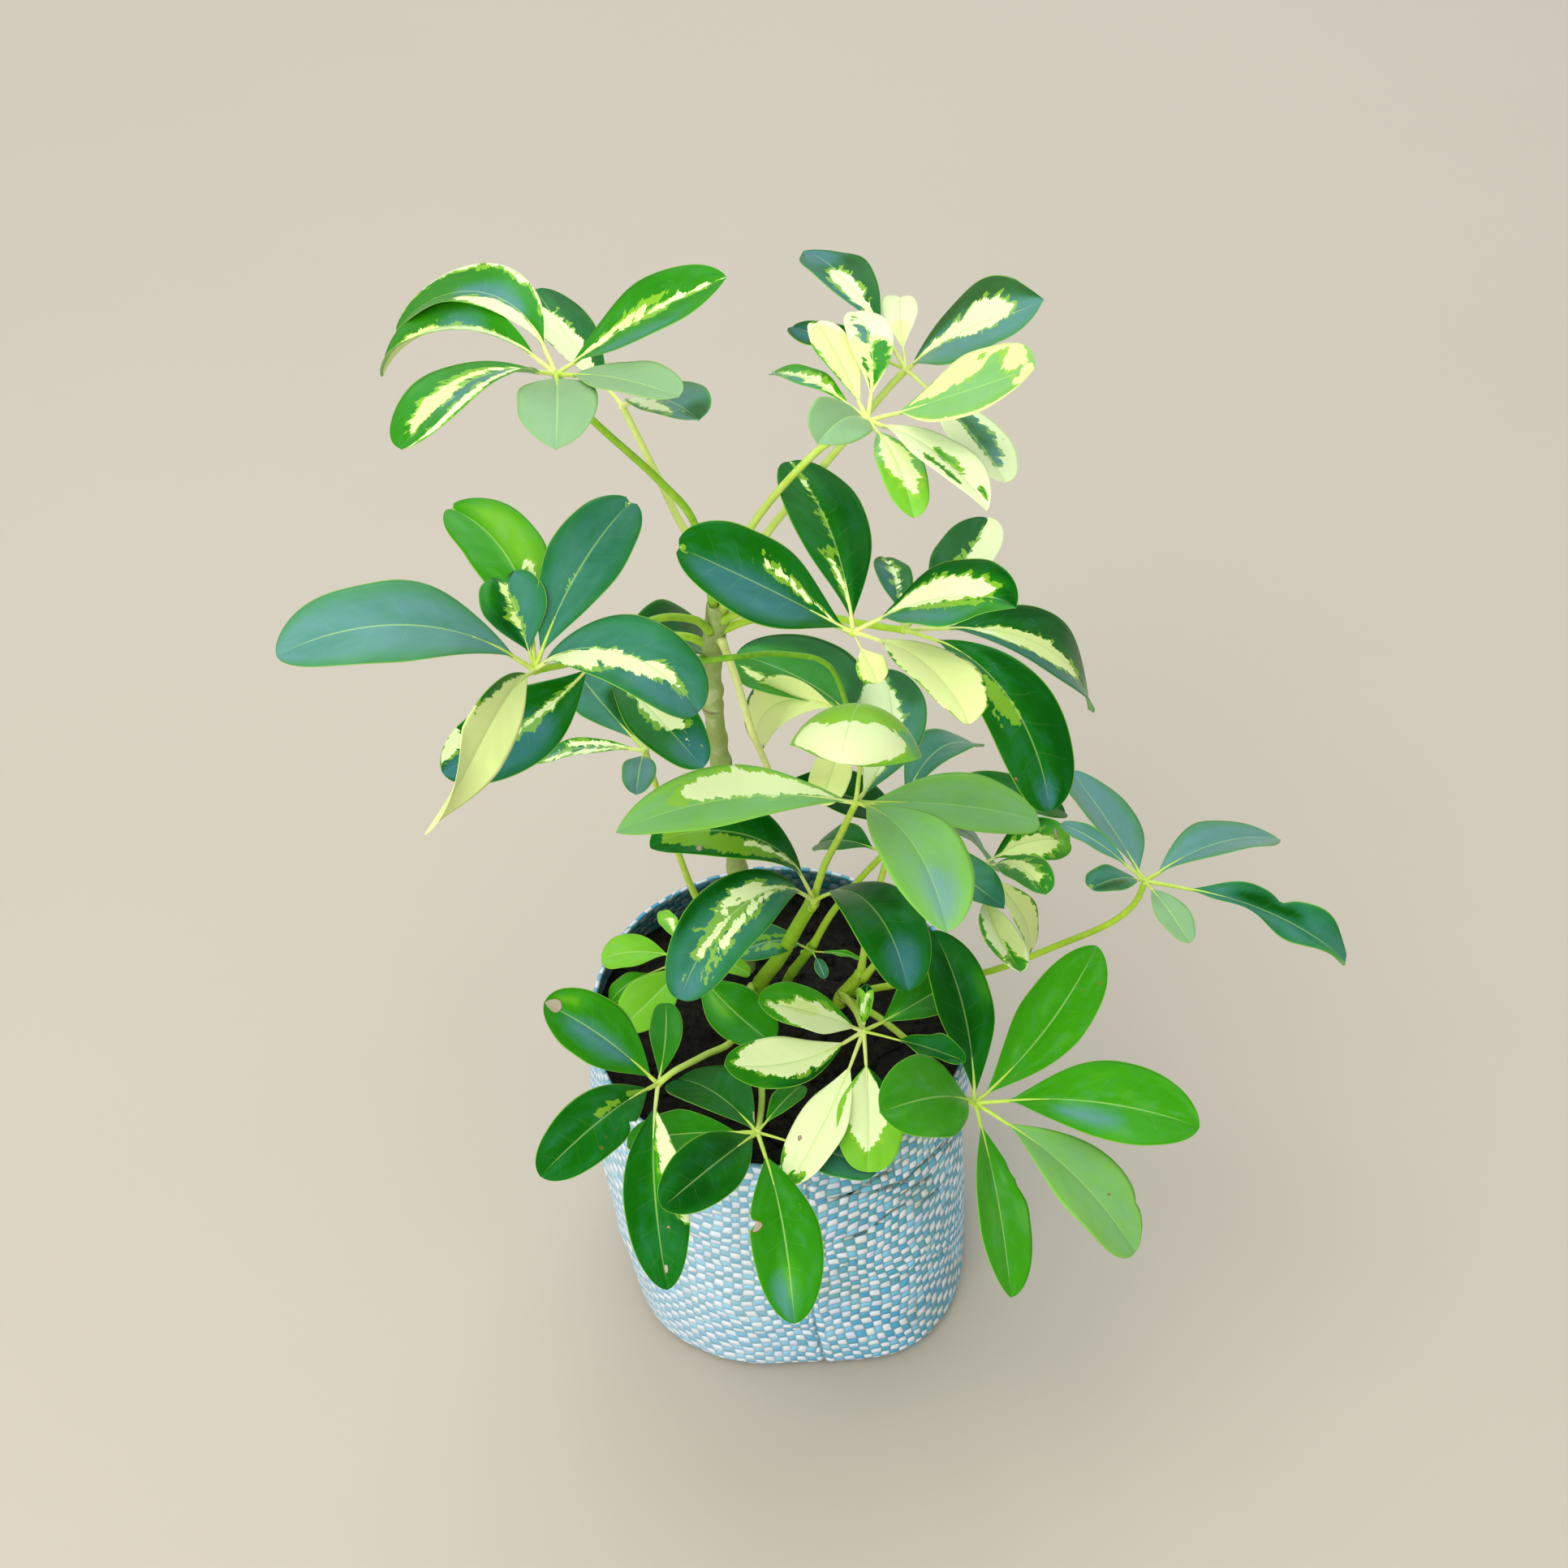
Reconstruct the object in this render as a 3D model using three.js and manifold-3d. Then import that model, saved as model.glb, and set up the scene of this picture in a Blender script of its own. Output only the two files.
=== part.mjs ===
// Variegated umbrella plant in a woven grow bag. Millimetres, +Z up.
// The origin is the centre of the bag's flat base, on the surface that it stands on. +Y points away
// from the side the plant is usually seen from, and +X points to the right of that side.
import * as THREE from 'three';
import { mergeVertices } from 'three/addons/utils/BufferGeometryUtils.js';
import Module from 'manifold-3d';

const wasm = await Module();
wasm.setup();

// ---- Driving dimensions ------------------------------------------------------------------------
const GAP = 0.3; // clearance between two pieces that touch

const BAG_HEIGHT = 200; // floor to the folded rim
const BAG_BASE_RADIUS = 92; // across the flats of its squarish foot
const BAG_CORNER = 10; // the foot's four corners stand out this much further
const BAG_RIM_RADIUS = 100;
const BAG_BULGE = 3; // the wall bulges by this much at half its height
const BAG_LEAN = -12; // the rim's centre stands this far along X from the base's centre
const BAG_LEAN_HEIGHT = 130; // the bag leans below this height and stands straight above it
const BAG_FOOT_RADIUS = 8; // rounding where the wall turns under
const BAG_WALL = 2;
const HEM_HEIGHT = 9; // the rim is folded inwards over this height
const HEM_WALL = 4;
const BASE_PANEL = 2; // thickness of the bottom panel
const BAG_SIDES = 40;
const WALL_STATIONS = [0, 2.3, 8, 35, 70, 115, 155]; // heights of the rings below the hem

const SOIL_TOP = 175;
const SOIL_INSET = 2.6; // the soil's side stands this far inside the wall's outer face

const STEM_SIDES = 8;
const STALK_SIDES = 6;
const LEAF_THICKNESS = 1.1;
const LEAF_FOLD = 10; // degrees
const STALK_RADIUS = 1.0; // stalk of one leaflet, where it leaves the hub
const HUB_RADIUS = 2.6;
const WIDEST = 0.56; // where along a blade it is widest
const BLADE_STATIONS = [0.14, 0.36, 0.6, 0.83];

// ---- Stems: a centre line and a radius at its foot and its top -----------------------------------
const STEMS = {
  main_stem: {
    route: [[-30, 50, 161], [-31, 48, 205], [-35, 44, 274], [-43, 30, 382], [-44, 21, 438], [-40, 15, 484]],
    foot: 5.6,
    top: 5.2,
    color: 0x7d7f3c,
  },
  front_stem: {
    route: [[-27, 31, 161], [-23, 25, 190], [-12, 18, 222], [-2, 8, 262], [5, 1, 289]],
    foot: 4.2,
    top: 3.4,
    color: 0x86b53a,
  },
  right_stem: {
    route: [[19, 24, 161], [20, 23, 180], [25, 16, 200], [31, 10, 219]],
    foot: 4.0,
    top: 3.2,
    color: 0x9cc42c,
  },
  inner_stem: {
    route: [[-11, 40, 161], [-7, 37, 182], [0, 33, 202], [6, 29, 220]],
    foot: 2.8,
    top: 2.4,
    color: 0x7fae35,
  },
};

// ---- Leaves ------------------------------------------------------------------------------------
// Each leaf is a stalk (petiole) that ends in a hub, with leaflets spread round it like an umbrella.
// A leaflet's turn is measured round +Z from +X and its rise from the horizontal, in degrees. droop is
// how far its pitch falls from base to tip, sweep how far it curves sideways, roll its bank and fold how
// far each half rises from its midrib.
const leaflet = (turn, rise, stalk, long, wide, droop, sweep, roll, fold = LEAF_FOLD) => ({
  turn, rise, stalk, long, wide, droop, sweep, roll, fold,
});

const LEAVES = {
  leaf_top_left: {
    route: [[-42, 14, 484], [-50, 21, 528], [-66, 25, 552], [-95, 28, 586], [-109, 30, 609]],
    leaflets: [
      leaflet(113, 20, 15, 101, 42, 75, 75, 10),
      leaflet(144, 23, 12, 95, 30, 92, 37, 6),
      leaflet(-135, 41, 12, 96, 38, 56, 18, 18),
      leaflet(-84, 35, 14, 76, 35, 33, -5, -2),
      leaflet(-49, 35, 14, 77, 27, 21, 5, -2),
      leaflet(2, 43, 10, 81, 39, 19, 2, 1),
    ],
  },
  leaf_top_left_back: {
    route: [[-38, 20, 478], [-48, 29, 500], [-58, 38, 515], [-68, 52, 530], [-83, 65, 560]],
    leaflets: [
      leaflet(124, 10, 11, 82, 29, 20, -13, 10),
      leaflet(-61, 48, 15, 78, 32, 33, 0, 0),
    ],
  },
  leaf_top_right: {
    route: [[-38, 13, 482], [-26, 8, 536], [3, 0, 590], [26, 0, 609]],
    leaflets: [
      leaflet(128, 2, 12, 60, 14, 42, 0, 0),
      leaflet(-118, 51, 5, 50, 27, 51, 0, -18),
      leaflet(109, 12, 10, 61, 19, 29, -3, 7),
      leaflet(83, 15, 13, 63, 21, 37, 25, 5),
      leaflet(-34, 40, 20, 80, 40, 0, 7, 15),
      leaflet(-57, 30, 12, 84, 28, 37, -3, -18),
      leaflet(-73, 23, 14, 63, 21, 34, -8, -10),
    ],
  },
  leaf_top_right_back: {
    route: [[-38, 17, 478], [-18, 21, 522], [17, 36, 565], [34, 46, 584], [44, 50, 595]],
    leaflets: [
      leaflet(116, 12, 24, 80, 30, 42, -2, 9),
      leaflet(94, 4, 13, 54, 17, 35, -9, 0),
      leaflet(-37, 57, 5, 89, 41, 25, 7, 25),
      leaflet(140, -8, 18, 54, 20, 13, -11, 0),
      leaflet(-62, 11, 23, 70, 28, 14, -6, -14),
    ],
  },
  leaf_mid_left: {
    route: [[-44, 13, 468], [-52, 3, 486], [-70, -14, 502], [-98, -36, 501], [-120, -50, 507]],
    leaflets: [
      leaflet(-170, 51, 13, 113, 43, 74, 7, -12),
      leaflet(95, 31, 13, 84, 37, 35, 51, 2),
      leaflet(112, 40, 9, 37, 32, 25, 0, -7, 24),
      leaflet(64, 41, 8, 84, 35, 37, -10, 11),
      leaflet(-14, 54, 7, 88, 42, 108, -18, 2),
      leaflet(-101, 38, 12, 116, 28, 66, -11, -55),
    ],
  },
  leaf_mid_left_back: {
    route: [[-44, 19, 452], [-58, 16, 462], [-78, 10, 462], [-97, 5, 458]],
    leaflets: [
      leaflet(-125, -8, 7, 87, 37, -6, -26, -25),
      leaflet(-57, 13, 13, 78, 30, 20, 3, 7),
      leaflet(46, -9, 16, 72, 36, 55, -9, 16),
    ],
  },
  leaf_long_stalk: {
    route: [[-32, 50, 184], [-44, 52, 200], [-56, 50, 232], [-65, 45, 277], [-74, 35, 338], [-78, 30, 368]],
    leaflets: [
      leaflet(122, -7, 11, 71, 28, 17, -12, -13),
      leaflet(166, -3, 5, 59, 13, 42, 0, 0),
      leaflet(-94, 34, 11, 32, 17, 46, 0, 0),
    ],
  },
  leaf_crown_front: {
    route: [[-39, 14, 474], [-26, -2, 496], [-6, -28, 522], [12, -50, 536], [20, -60, 541]],
    leaflets: [
      leaflet(178, 36, 5, 85, 47, 6, 0, -11),
      leaflet(96, 21, 6, 91, 37, 22, 23, 12),
      leaflet(-28, 50, 20, 79, 39, 31, -8, 11),
      leaflet(-54, 31, 21, 84, 36, 28, -19, -20),
      leaflet(-62, -22, 8, 17, 15, 10, 0, 0),
    ],
  },
  leaf_crown_right: {
    route: [[-39, 16, 466], [-20, 14, 476], [10, 10, 480], [30, 7, 478], [45, 5, 477]],
    leaflets: [
      leaflet(94, -2, 11, 54, 18, 25, 5, 10),
      leaflet(55, -4, 17, 76, 31, 0, 20, -5),
      leaflet(3, 1, 21, 101, 46, 84, 4, 0),
      leaflet(-43, 20, 21, 105, 36, 91, -24, 4),
    ],
  },
  leaf_crown_under: {
    route: [[-46, 20, 446], [-49, 10, 451], [-34, 1, 463], [-12, 16, 450], [11, 20, 438], [22, 11, 412]],
    leaflets: [
      leaflet(108, -22, 2, 85, 58, -20, 50, 10),
      leaflet(146, 2, 10, 75, 29, 106, 19, -43),
      leaflet(-122, -52, 8, 38, 20, 6, 0, -20),
    ],
  },
  leaf_front_upper: {
    route: [[4.5, 1.5, 287], [10, -5, 322], [17, -17, 358], [24, -30, 397]],
    leaflets: [
      leaflet(-105, 110, 34, 78, 80, 150, 0, 6, -34),
      leaflet(61, -4, 6, 95, 35, 4, 44, 2),
      leaflet(-176, 20, 4, 113, 37, 45, 8, 0),
      leaflet(8, -6, 7, 87, 38, 23, 0, 0),
      leaflet(-55, 34, 9, 96, 44, 57, -24, -12),
    ],
  },
  leaf_front_lower: {
    route: [[4, -2, 286], [5, -5, 291], [5, -6, 296]],
    leaflets: [
      leaflet(177, 73, 20, 92, 34, 108, 9, -8),
      leaflet(-138, 58, 17, 106, 36, 122, 12, -22),
      leaflet(-48, 56, 21, 91, 40, 97, -28, -13),
    ],
  },
  leaf_second_stem: {
    route: [[30, 12, 216], [34, 18, 250], [42, 26, 290], [48, 30, 320]],
    leaflets: [
      leaflet(27, -33, 11, 83, 28, 41, 0, 0),
      leaflet(71, 12, 10, 85, 30, 66, -29, -11),
      leaflet(25, 2, 8, 93, 33, 46, -13, -6),
    ],
  },
  leaf_behind_stem: {
    route: [[-37, 11, 462], [-32, 8, 440], [-26, 7, 410], [-19, 6, 386], [-15, 5, 372]],
    leaflets: [
      leaflet(6, -14, 4, 62, 30, 26, 0, 4),
    ],
  },
  leaf_pale_right: {
    route: [[31, 8, 216], [44, 6, 243], [66, 2, 280], [86, 0, 314]],
    leaflets: [
      leaflet(37, 5, 10, 51, 25, 45, -15, 23),
      leaflet(-52, 51, 20, 50, 22, 49, -15, -3),
      leaflet(-19, -36, 9, 58, 22, 59, 0, 3),
      leaflet(-83, 11, 23, 56, 22, 4, 16, -20),
    ],
  },
  leaf_far_right: {
    route: [[21, 22, 184], [44, 16, 200], [93, 5, 225], [130, 3, 250], [154, 2, 268], [166, 1, 285], [170, 0, 304]],
    leaflets: [
      leaflet(104, -13, 9, 89, 38, -6, 10, 28),
      leaflet(-136, 48, 11, 44, 20, 33, 0, 0),
      leaflet(-71, 22, 8, 42, 17, 31, 6, 0),
      leaflet(41, 0, 9, 87, 38, 35, -15, -18),
      leaflet(-18, 7, 22, 89, 26, 48, 0, 0),
      leaflet(143, 24, 12, 41, 12, 36, 0, 0),
    ],
  },
  leaf_inner_right: {
    route: [[5, 29, 217], [14, 27, 245], [27, 23, 276], [41, 20, 303]],
    leaflets: [
      leaflet(-44, 36, 11, 74, 29, 45, -2, -5),
      leaflet(142, -12, 8, 42, 24, 40, 0, 0),
    ],
  },
  leaf_low_right: {
    route: [[21, 20, 186], [40, -10, 206], [60, -45, 222], [76, -72, 226], [85, -85, 234]],
    leaflets: [
      leaflet(91, 28, 4, 93, 32, 26, 22, 13),
      leaflet(39, 16, 7, 95, 36, -11, 21, 10),
      leaflet(-10, 21, 18, 96, 46, 39, -2, 6),
      leaflet(-37, -1, 20, 92, 42, 51, -3, -7),
      leaflet(-80, 3, 14, 94, 34, 22, -6, -34),
      leaflet(-129, 56, 11, 84, 43, 34, -11, -32),
    ],
  },
  leaf_pale_centre: {
    route: [[21, 19, 190], [24, -4, 212], [27, -28, 234], [30, -50, 247]],
    leaflets: [
      leaflet(-165, 46, 6, 61, 28, 21, -4, -7),
      leaflet(-139, 9, 13, 72, 28, -21, -26, -17),
      leaflet(-109, -3, 22, 71, 28, 12, -13, 12),
      leaflet(-87, -3, 20, 57, 34, 25, -6, -10),
      leaflet(35, -3, 11, 62, 31, 19, 19, 4),
      leaflet(-36, 24, 23, 41, 16, 12, 0, 9),
    ],
  },
  leaf_low_left: {
    route: [[-27, 24, 190], [-35, -26, 211], [-50, -56, 235], [-64, -77, 250], [-72, -85, 250]],
    leaflets: [
      leaflet(155, 43, 5, 67, 35, 13, 16, -17),
      leaflet(-122, 35, 10, 86, 32, 44, -9, -28),
      leaflet(-93, 11, 16, 98, 32, 48, 16, -3),
      leaflet(81, 6, 4, 49, 17, 18, 14, 6),
    ],
  },
  leaf_low_front: {
    route: [[-21, 23, 184], [-22, -30, 203], [-21, -70, 219], [-22, -94, 231], [-23, -105, 237]],
    leaflets: [
      leaflet(122, -4, 2, 72, 36, 37, 12, 7),
      leaflet(-119, 33, 5, 80, 33, 26, -11, -24),
      leaflet(-76, 11, 17, 89, 35, 52, -9, 0),
      leaflet(57, 2, 7, 37, 14, 34, 4, 0),
      leaflet(-14, -5, 14, 48, 30, 10, 0, 0),
      leaflet(174, -6, 10, 58, 27, 20, 0, 0),
    ],
  },
  leaf_rim_left: {
    route: [[-31, 49, 186], [-42, 34, 200], [-52, 25, 212], [-60, 20, 218]],
    leaflets: [
      leaflet(175, 14, 11, 37, 21, 50, 3, -9),
      leaflet(117, 10, 13, 22, 10, 23, -10, 0),
      leaflet(-168, -17, 22, 31, 14, 53, 0, 0),
      leaflet(-121, 3, 7, 48, 26, 17, -18, -17),
      leaflet(-58, 0, 13, 57, 31, 4, 19, 6),
      leaflet(-5, 0, 10, 25, 12, 42, 0, 6),
    ],
  },
  leaf_sprout: {
    route: [[0, 33, 207], [3, 28, 212], [5, 25, 218]],
    leaflets: [
      leaflet(-152, 54, 12, 44, 19, 66, 3, -20),
      leaflet(-70, 11, 5, 14, 7, 36, 0, 0),
      leaflet(-7, 9, 5, 22, 4, 36, 0, 0),
    ],
  },
};

const LEAF_STALK = { foot: 2.0, top: 1.5 }; // radii of a leaf's stalk

// Young leaves that have only begun to unfold above the pale leaf in the middle of the bag.
const NEW_SHOOT = {
  carrier: 'leaf_pale_centre',
  leaflets: [
    leaflet(104, 60, 1, 24, 8, -16, 10, 0, 40),
    leaflet(80, 66, 1, 19, 9, 0, 0, 0, 40),
    leaflet(62, 62, 1, 24, 9, -16, -10, 0, 40),
  ],
};

// ---- Colours -------------------------------------------------------------------------------------
const LEAF_GREEN = 0x4c9a35;
const PALE_LEAF = 0xcfe08a;
const PALE_LEAVES = ['leaf_pale_right', 'leaf_pale_centre', 'leaf_top_right'];

const finish = (color, roughness) => new THREE.MeshStandardMaterial({ color, roughness, metalness: 0 });

// ---- Solids ------------------------------------------------------------------------------------
const rad = THREE.MathUtils.degToRad;
const vec = ([x, y, z]) => new THREE.Vector3(x, y, z);

/** Turns a closed geometry into a solid that can be cut and joined. */
function solidOf(geometry) {
  const bare = geometry.clone();
  bare.deleteAttribute('normal');
  bare.deleteAttribute('uv');
  const merged = mergeVertices(bare, 1e-4);
  return new wasm.Manifold(new wasm.Mesh({
    numProp: 3,
    vertProperties: new Float32Array(merged.attributes.position.array),
    triVerts: new Uint32Array(merged.index.array),
  }));
}

/** Turns a solid back into a geometry. */
function geometryOf(solid) {
  const mesh = solid.getMesh();
  const geometry = new THREE.BufferGeometry();
  geometry.setAttribute('position', new THREE.BufferAttribute(new Float32Array(mesh.vertProperties), 3));
  geometry.setIndex(new THREE.BufferAttribute(new Uint32Array(mesh.triVerts), 1));
  geometry.computeVertexNormals();
  return geometry;
}

/** Skins rings of equal length; the ends are closed, or joined to each other where looped is true. */
function skin(rings, looped = false) {
  const sides = rings[0].length;
  const points = rings.flat();
  const index = [];
  const bands = looped ? rings.length : rings.length - 1;
  for (let i = 0; i < bands; i += 1) {
    const lower = i * sides;
    const upper = ((i + 1) % rings.length) * sides;
    for (let j = 0; j < sides; j += 1) {
      const k = (j + 1) % sides;
      index.push(lower + j, lower + k, upper + k, lower + j, upper + k, upper + j);
    }
  }
  if (!looped) {
    const last = (rings.length - 1) * sides;
    for (let j = 1; j < sides - 1; j += 1) {
      index.push(0, j + 1, j, last, last + j, last + j + 1);
    }
  }
  const geometry = new THREE.BufferGeometry();
  geometry.setAttribute('position', new THREE.Float32BufferAttribute(points.flatMap((p) => p.toArray()), 3));
  geometry.setIndex(index);
  return geometry;
}

/** Rings of a round rod that follows a route and tapers from its foot to its top. */
function rodRings(route, foot, top, sides, steps) {
  const curve = new THREE.CatmullRomCurve3(route.map(vec));
  const frames = curve.computeFrenetFrames(steps, false);
  const rings = [];
  for (let i = 0; i <= steps; i += 1) {
    const centre = curve.getPointAt(i / steps);
    const radius = THREE.MathUtils.lerp(foot, top, i / steps);
    const ring = [];
    for (let j = 0; j < sides; j += 1) {
      const angle = (2 * Math.PI * j) / sides;
      ring.push(centre.clone()
        .addScaledVector(frames.normals[i], radius * Math.cos(angle))
        .addScaledVector(frames.binormals[i], radius * Math.sin(angle)));
    }
    rings.push(ring);
  }
  return rings;
}

const rod = (route, foot, top, sides, steps) => skin(rodRings(route, foot, top, sides, steps));

// ---- Leaf ----------------------------------------------------------------------------------------
/** Half width of a blade at u, as a part of its greatest half width. */
function bladeProfile(u) {
  const power = Math.log(0.5) / Math.log(WIDEST);
  const wave = Math.sin(Math.PI * u ** power);
  return wave ** (u < WIDEST ? 0.9 : 0.62);
}

/** Direction of travel at u along a leaflet's blade. */
function heading(piece, u) {
  const turn = rad(piece.turn + piece.sweep * u);
  const pitch = rad(piece.rise - piece.droop * u);
  return new THREE.Vector3(
    Math.cos(pitch) * Math.cos(turn),
    Math.cos(pitch) * Math.sin(turn),
    Math.sin(pitch),
  );
}

/** Point on a leaflet's midrib at u, summed along its curve. */
function midrib(piece, hub, u) {
  const STEPS = 16;
  const point = hub.clone().addScaledVector(heading(piece, 0), piece.stalk);
  for (let i = 0; i < STEPS; i += 1) {
    point.addScaledVector(heading(piece, (u * (i + 0.5)) / STEPS), (piece.long * u) / STEPS);
  }
  return point;
}

/** Four-cornered section across a leaflet: right edge, under side, left edge and upper side. */
function section(piece, centre, u, halfWidth, thickness) {
  const ahead = heading(piece, u);
  const turn = rad(piece.turn + piece.sweep * u);
  const level = new THREE.Vector3(-Math.sin(turn), Math.cos(turn), 0);
  const side = level.clone().applyAxisAngle(ahead, rad(piece.roll));
  const up = new THREE.Vector3().crossVectors(ahead, side);
  const out = Math.cos(rad(piece.fold)) * halfWidth;
  const lift = Math.sin(rad(piece.fold)) * halfWidth;
  return [
    centre.clone().addScaledVector(side, -out).addScaledVector(up, lift),
    centre.clone().addScaledVector(up, -thickness / 2),
    centre.clone().addScaledVector(side, out).addScaledVector(up, lift),
    centre.clone().addScaledVector(up, thickness / 2),
  ];
}

/** One leaflet, with its own short stalk, as a closed geometry that starts at the hub. */
function leafletGeometry(piece, hub) {
  const rings = [
    section(piece, hub, 0, STALK_RADIUS, 2 * STALK_RADIUS),
    section(piece, midrib(piece, hub, 0), 0, STALK_RADIUS, 1.5 * STALK_RADIUS),
  ];
  for (const u of BLADE_STATIONS) {
    const halfWidth = (piece.wide / 2) * bladeProfile(u);
    rings.push(section(piece, midrib(piece, hub, u), u, halfWidth, LEAF_THICKNESS));
  }
  const TIP = 0.985;
  rings.push(section(piece, midrib(piece, hub, TIP), TIP, (piece.wide / 2) * bladeProfile(TIP), LEAF_THICKNESS / 2));
  return skin(rings);
}

/** A whole leaf: stalk, hub and leaflets, as one solid. */
function leafSolid({ route, leaflets }) {
  const hub = vec(route[route.length - 1]);
  const steps = Math.max(4, 2 * (route.length - 1));
  const knob = new THREE.IcosahedronGeometry(HUB_RADIUS, 0).translate(hub.x, hub.y, hub.z);
  let whole = solidOf(rod(route, LEAF_STALK.foot, LEAF_STALK.top, STALK_SIDES, steps)).add(solidOf(knob));
  for (const piece of leaflets) {
    whole = whole.add(solidOf(leafletGeometry(piece, hub)));
  }
  return whole;
}

// ---- Bag and soil --------------------------------------------------------------------------------
/** Centre of the bag at height z. */
const bagCentre = (z) => BAG_LEAN * Math.sin((Math.PI / 2) * Math.min(1, z / BAG_LEAN_HEIGHT));

/** Outer radius of the bag at height z and an angle round its axis, with its foot rounded under. */
function bagRadius(z, angle) {
  const up = z / BAG_HEIGHT;
  const wall = THREE.MathUtils.lerp(BAG_BASE_RADIUS, BAG_RIM_RADIUS, up) + BAG_BULGE * Math.sin(Math.PI * up);
  const corner = (BAG_CORNER * (1 - up) ** 1.5 * (1 - Math.cos(4 * angle))) / 2;
  const below = Math.max(0, BAG_FOOT_RADIUS - z);
  return wall + corner - BAG_FOOT_RADIUS + Math.sqrt(BAG_FOOT_RADIUS ** 2 - below ** 2);
}

/** A level ring of points round the bag's axis, this far inside its outer face. */
function bagRing(z, inset) {
  const ring = [];
  for (let j = 0; j < BAG_SIDES; j += 1) {
    const angle = (2 * Math.PI * j) / BAG_SIDES;
    const radius = bagRadius(z, angle) - inset;
    ring.push(new THREE.Vector3(bagCentre(z) + radius * Math.cos(angle), radius * Math.sin(angle), z));
  }
  return ring;
}

/** The side wall: up the outside, over the folded hem and down the inside. */
function bagWall() {
  const underHem = BAG_HEIGHT - HEM_HEIGHT;
  const rings = [...WALL_STATIONS, underHem, BAG_HEIGHT].map((z) => bagRing(z, 0));
  rings.push(bagRing(BAG_HEIGHT, HEM_WALL));
  rings.push(bagRing(underHem, HEM_WALL));
  rings.push(bagRing(underHem - 2, BAG_WALL));
  for (const z of [...WALL_STATIONS].reverse()) {
    rings.push(bagRing(z, BAG_WALL));
  }
  return skin(rings, true);
}

/** The bottom panel, flat on the floor, with its outline from the bag's foot. */
function basePanel() {
  const outline = bagRing(0, BAG_WALL + GAP);
  return skin([outline, outline.map((point) => point.clone().setZ(BASE_PANEL))]);
}

/** The soil, which fills the bag to a level top and has a pocket for each stem. */
function soil(stems) {
  const heights = [...WALL_STATIONS.slice(1), SOIL_TOP];
  let body = solidOf(skin(heights.map((z) => bagRing(z, SOIL_INSET))));
  for (const stem of stems) {
    body = body.subtract(solidOf(stem));
  }
  return geometryOf(body);
}

// ---- Assembly ------------------------------------------------------------------------------------
const group = new THREE.Group();

function addPiece(name, geometry, material) {
  const mesh = new THREE.Mesh(geometry, material);
  mesh.name = name;
  group.add(mesh);
}

/** A stem's geometry, fattened all round and lengthened at both ends by grow. */
function stemGeometry({ route, foot, top }, grow = 0) {
  const beyond = (end, inner) => {
    const from = vec(inner);
    return vec(end).add(vec(end).sub(from).setLength(grow)).toArray();
  };
  const longer = [beyond(route[0], route[1]), ...route.slice(1, -1), beyond(route.at(-1), route.at(-2))];
  return rod(longer, foot + grow, top + grow, STEM_SIDES, 2 * (route.length - 1));
}

addPiece('bag_wall', bagWall(), finish(0x8ec3d6, 0.75));
addPiece('bag_base', basePanel(), finish(0x8ec3d6, 0.75));

const fatStems = Object.values(STEMS).map((stem) => stemGeometry(stem, GAP + 0.1));
addPiece('soil', soil(fatStems), finish(0x241d16, 0.95));

for (const [name, stem] of Object.entries(STEMS)) {
  addPiece(name, stemGeometry(stem), finish(stem.color, 0.6));
}

for (const [name, leaf] of Object.entries(LEAVES)) {
  let whole = leafSolid(leaf);
  for (const stem of fatStems) {
    whole = whole.subtract(solidOf(stem));
  }
  const color = PALE_LEAVES.includes(name) ? PALE_LEAF : LEAF_GREEN;
  addPiece(name, geometryOf(whole), finish(color, 0.35));
}

// The young shoot stands on the hub of the leaf that carries it, clear of it by the gap all round.
const shootHub = vec(LEAVES[NEW_SHOOT.carrier].route.at(-1));
const clearance = new THREE.SphereGeometry(HUB_RADIUS + GAP, 10, 6).translate(...shootHub.toArray());
let shoot = NEW_SHOOT.leaflets
  .map((piece) => solidOf(leafletGeometry(piece, shootHub)))
  .reduce((whole, part) => whole.add(part));
shoot = shoot.subtract(solidOf(clearance));
addPiece('new_shoot', geometryOf(shoot), finish(0xb9d26a, 0.5));

export default group;
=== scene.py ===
"""A variegated umbrella plant in a round woven grow bag.

The plant stands on a plain floor with its bag's base centred on the origin, +Z up, and is seen from
-Y. Sizes in the classes are millimetres and degrees unless they say otherwise; the meshes are in metres.
"""
import logging
import math
import random
from collections.abc import Callable
from dataclasses import dataclass
from enum import Enum
from functools import partial, partialmethod

import bmesh
import bpy
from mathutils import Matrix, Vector, noise


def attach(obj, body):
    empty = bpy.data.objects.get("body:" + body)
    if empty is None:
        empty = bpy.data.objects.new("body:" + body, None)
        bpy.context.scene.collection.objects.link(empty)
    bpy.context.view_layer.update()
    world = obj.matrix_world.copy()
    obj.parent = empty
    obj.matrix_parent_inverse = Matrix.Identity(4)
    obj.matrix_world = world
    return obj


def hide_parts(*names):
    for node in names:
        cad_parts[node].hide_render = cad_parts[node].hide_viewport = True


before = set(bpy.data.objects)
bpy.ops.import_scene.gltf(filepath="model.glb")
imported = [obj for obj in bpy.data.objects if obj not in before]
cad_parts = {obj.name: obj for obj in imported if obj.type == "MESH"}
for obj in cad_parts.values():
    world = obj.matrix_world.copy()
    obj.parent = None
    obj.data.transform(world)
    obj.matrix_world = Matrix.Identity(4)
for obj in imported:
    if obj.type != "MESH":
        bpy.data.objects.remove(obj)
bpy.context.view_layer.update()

LOG = logging.getLogger("potted_plant")
MM = 0.001
PATCH_ZERO = 20.0  # the depth attributes hold a depth in millimetres plus this
Point = tuple[float, float, float]
Along = Callable[[float, float], float]


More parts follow.
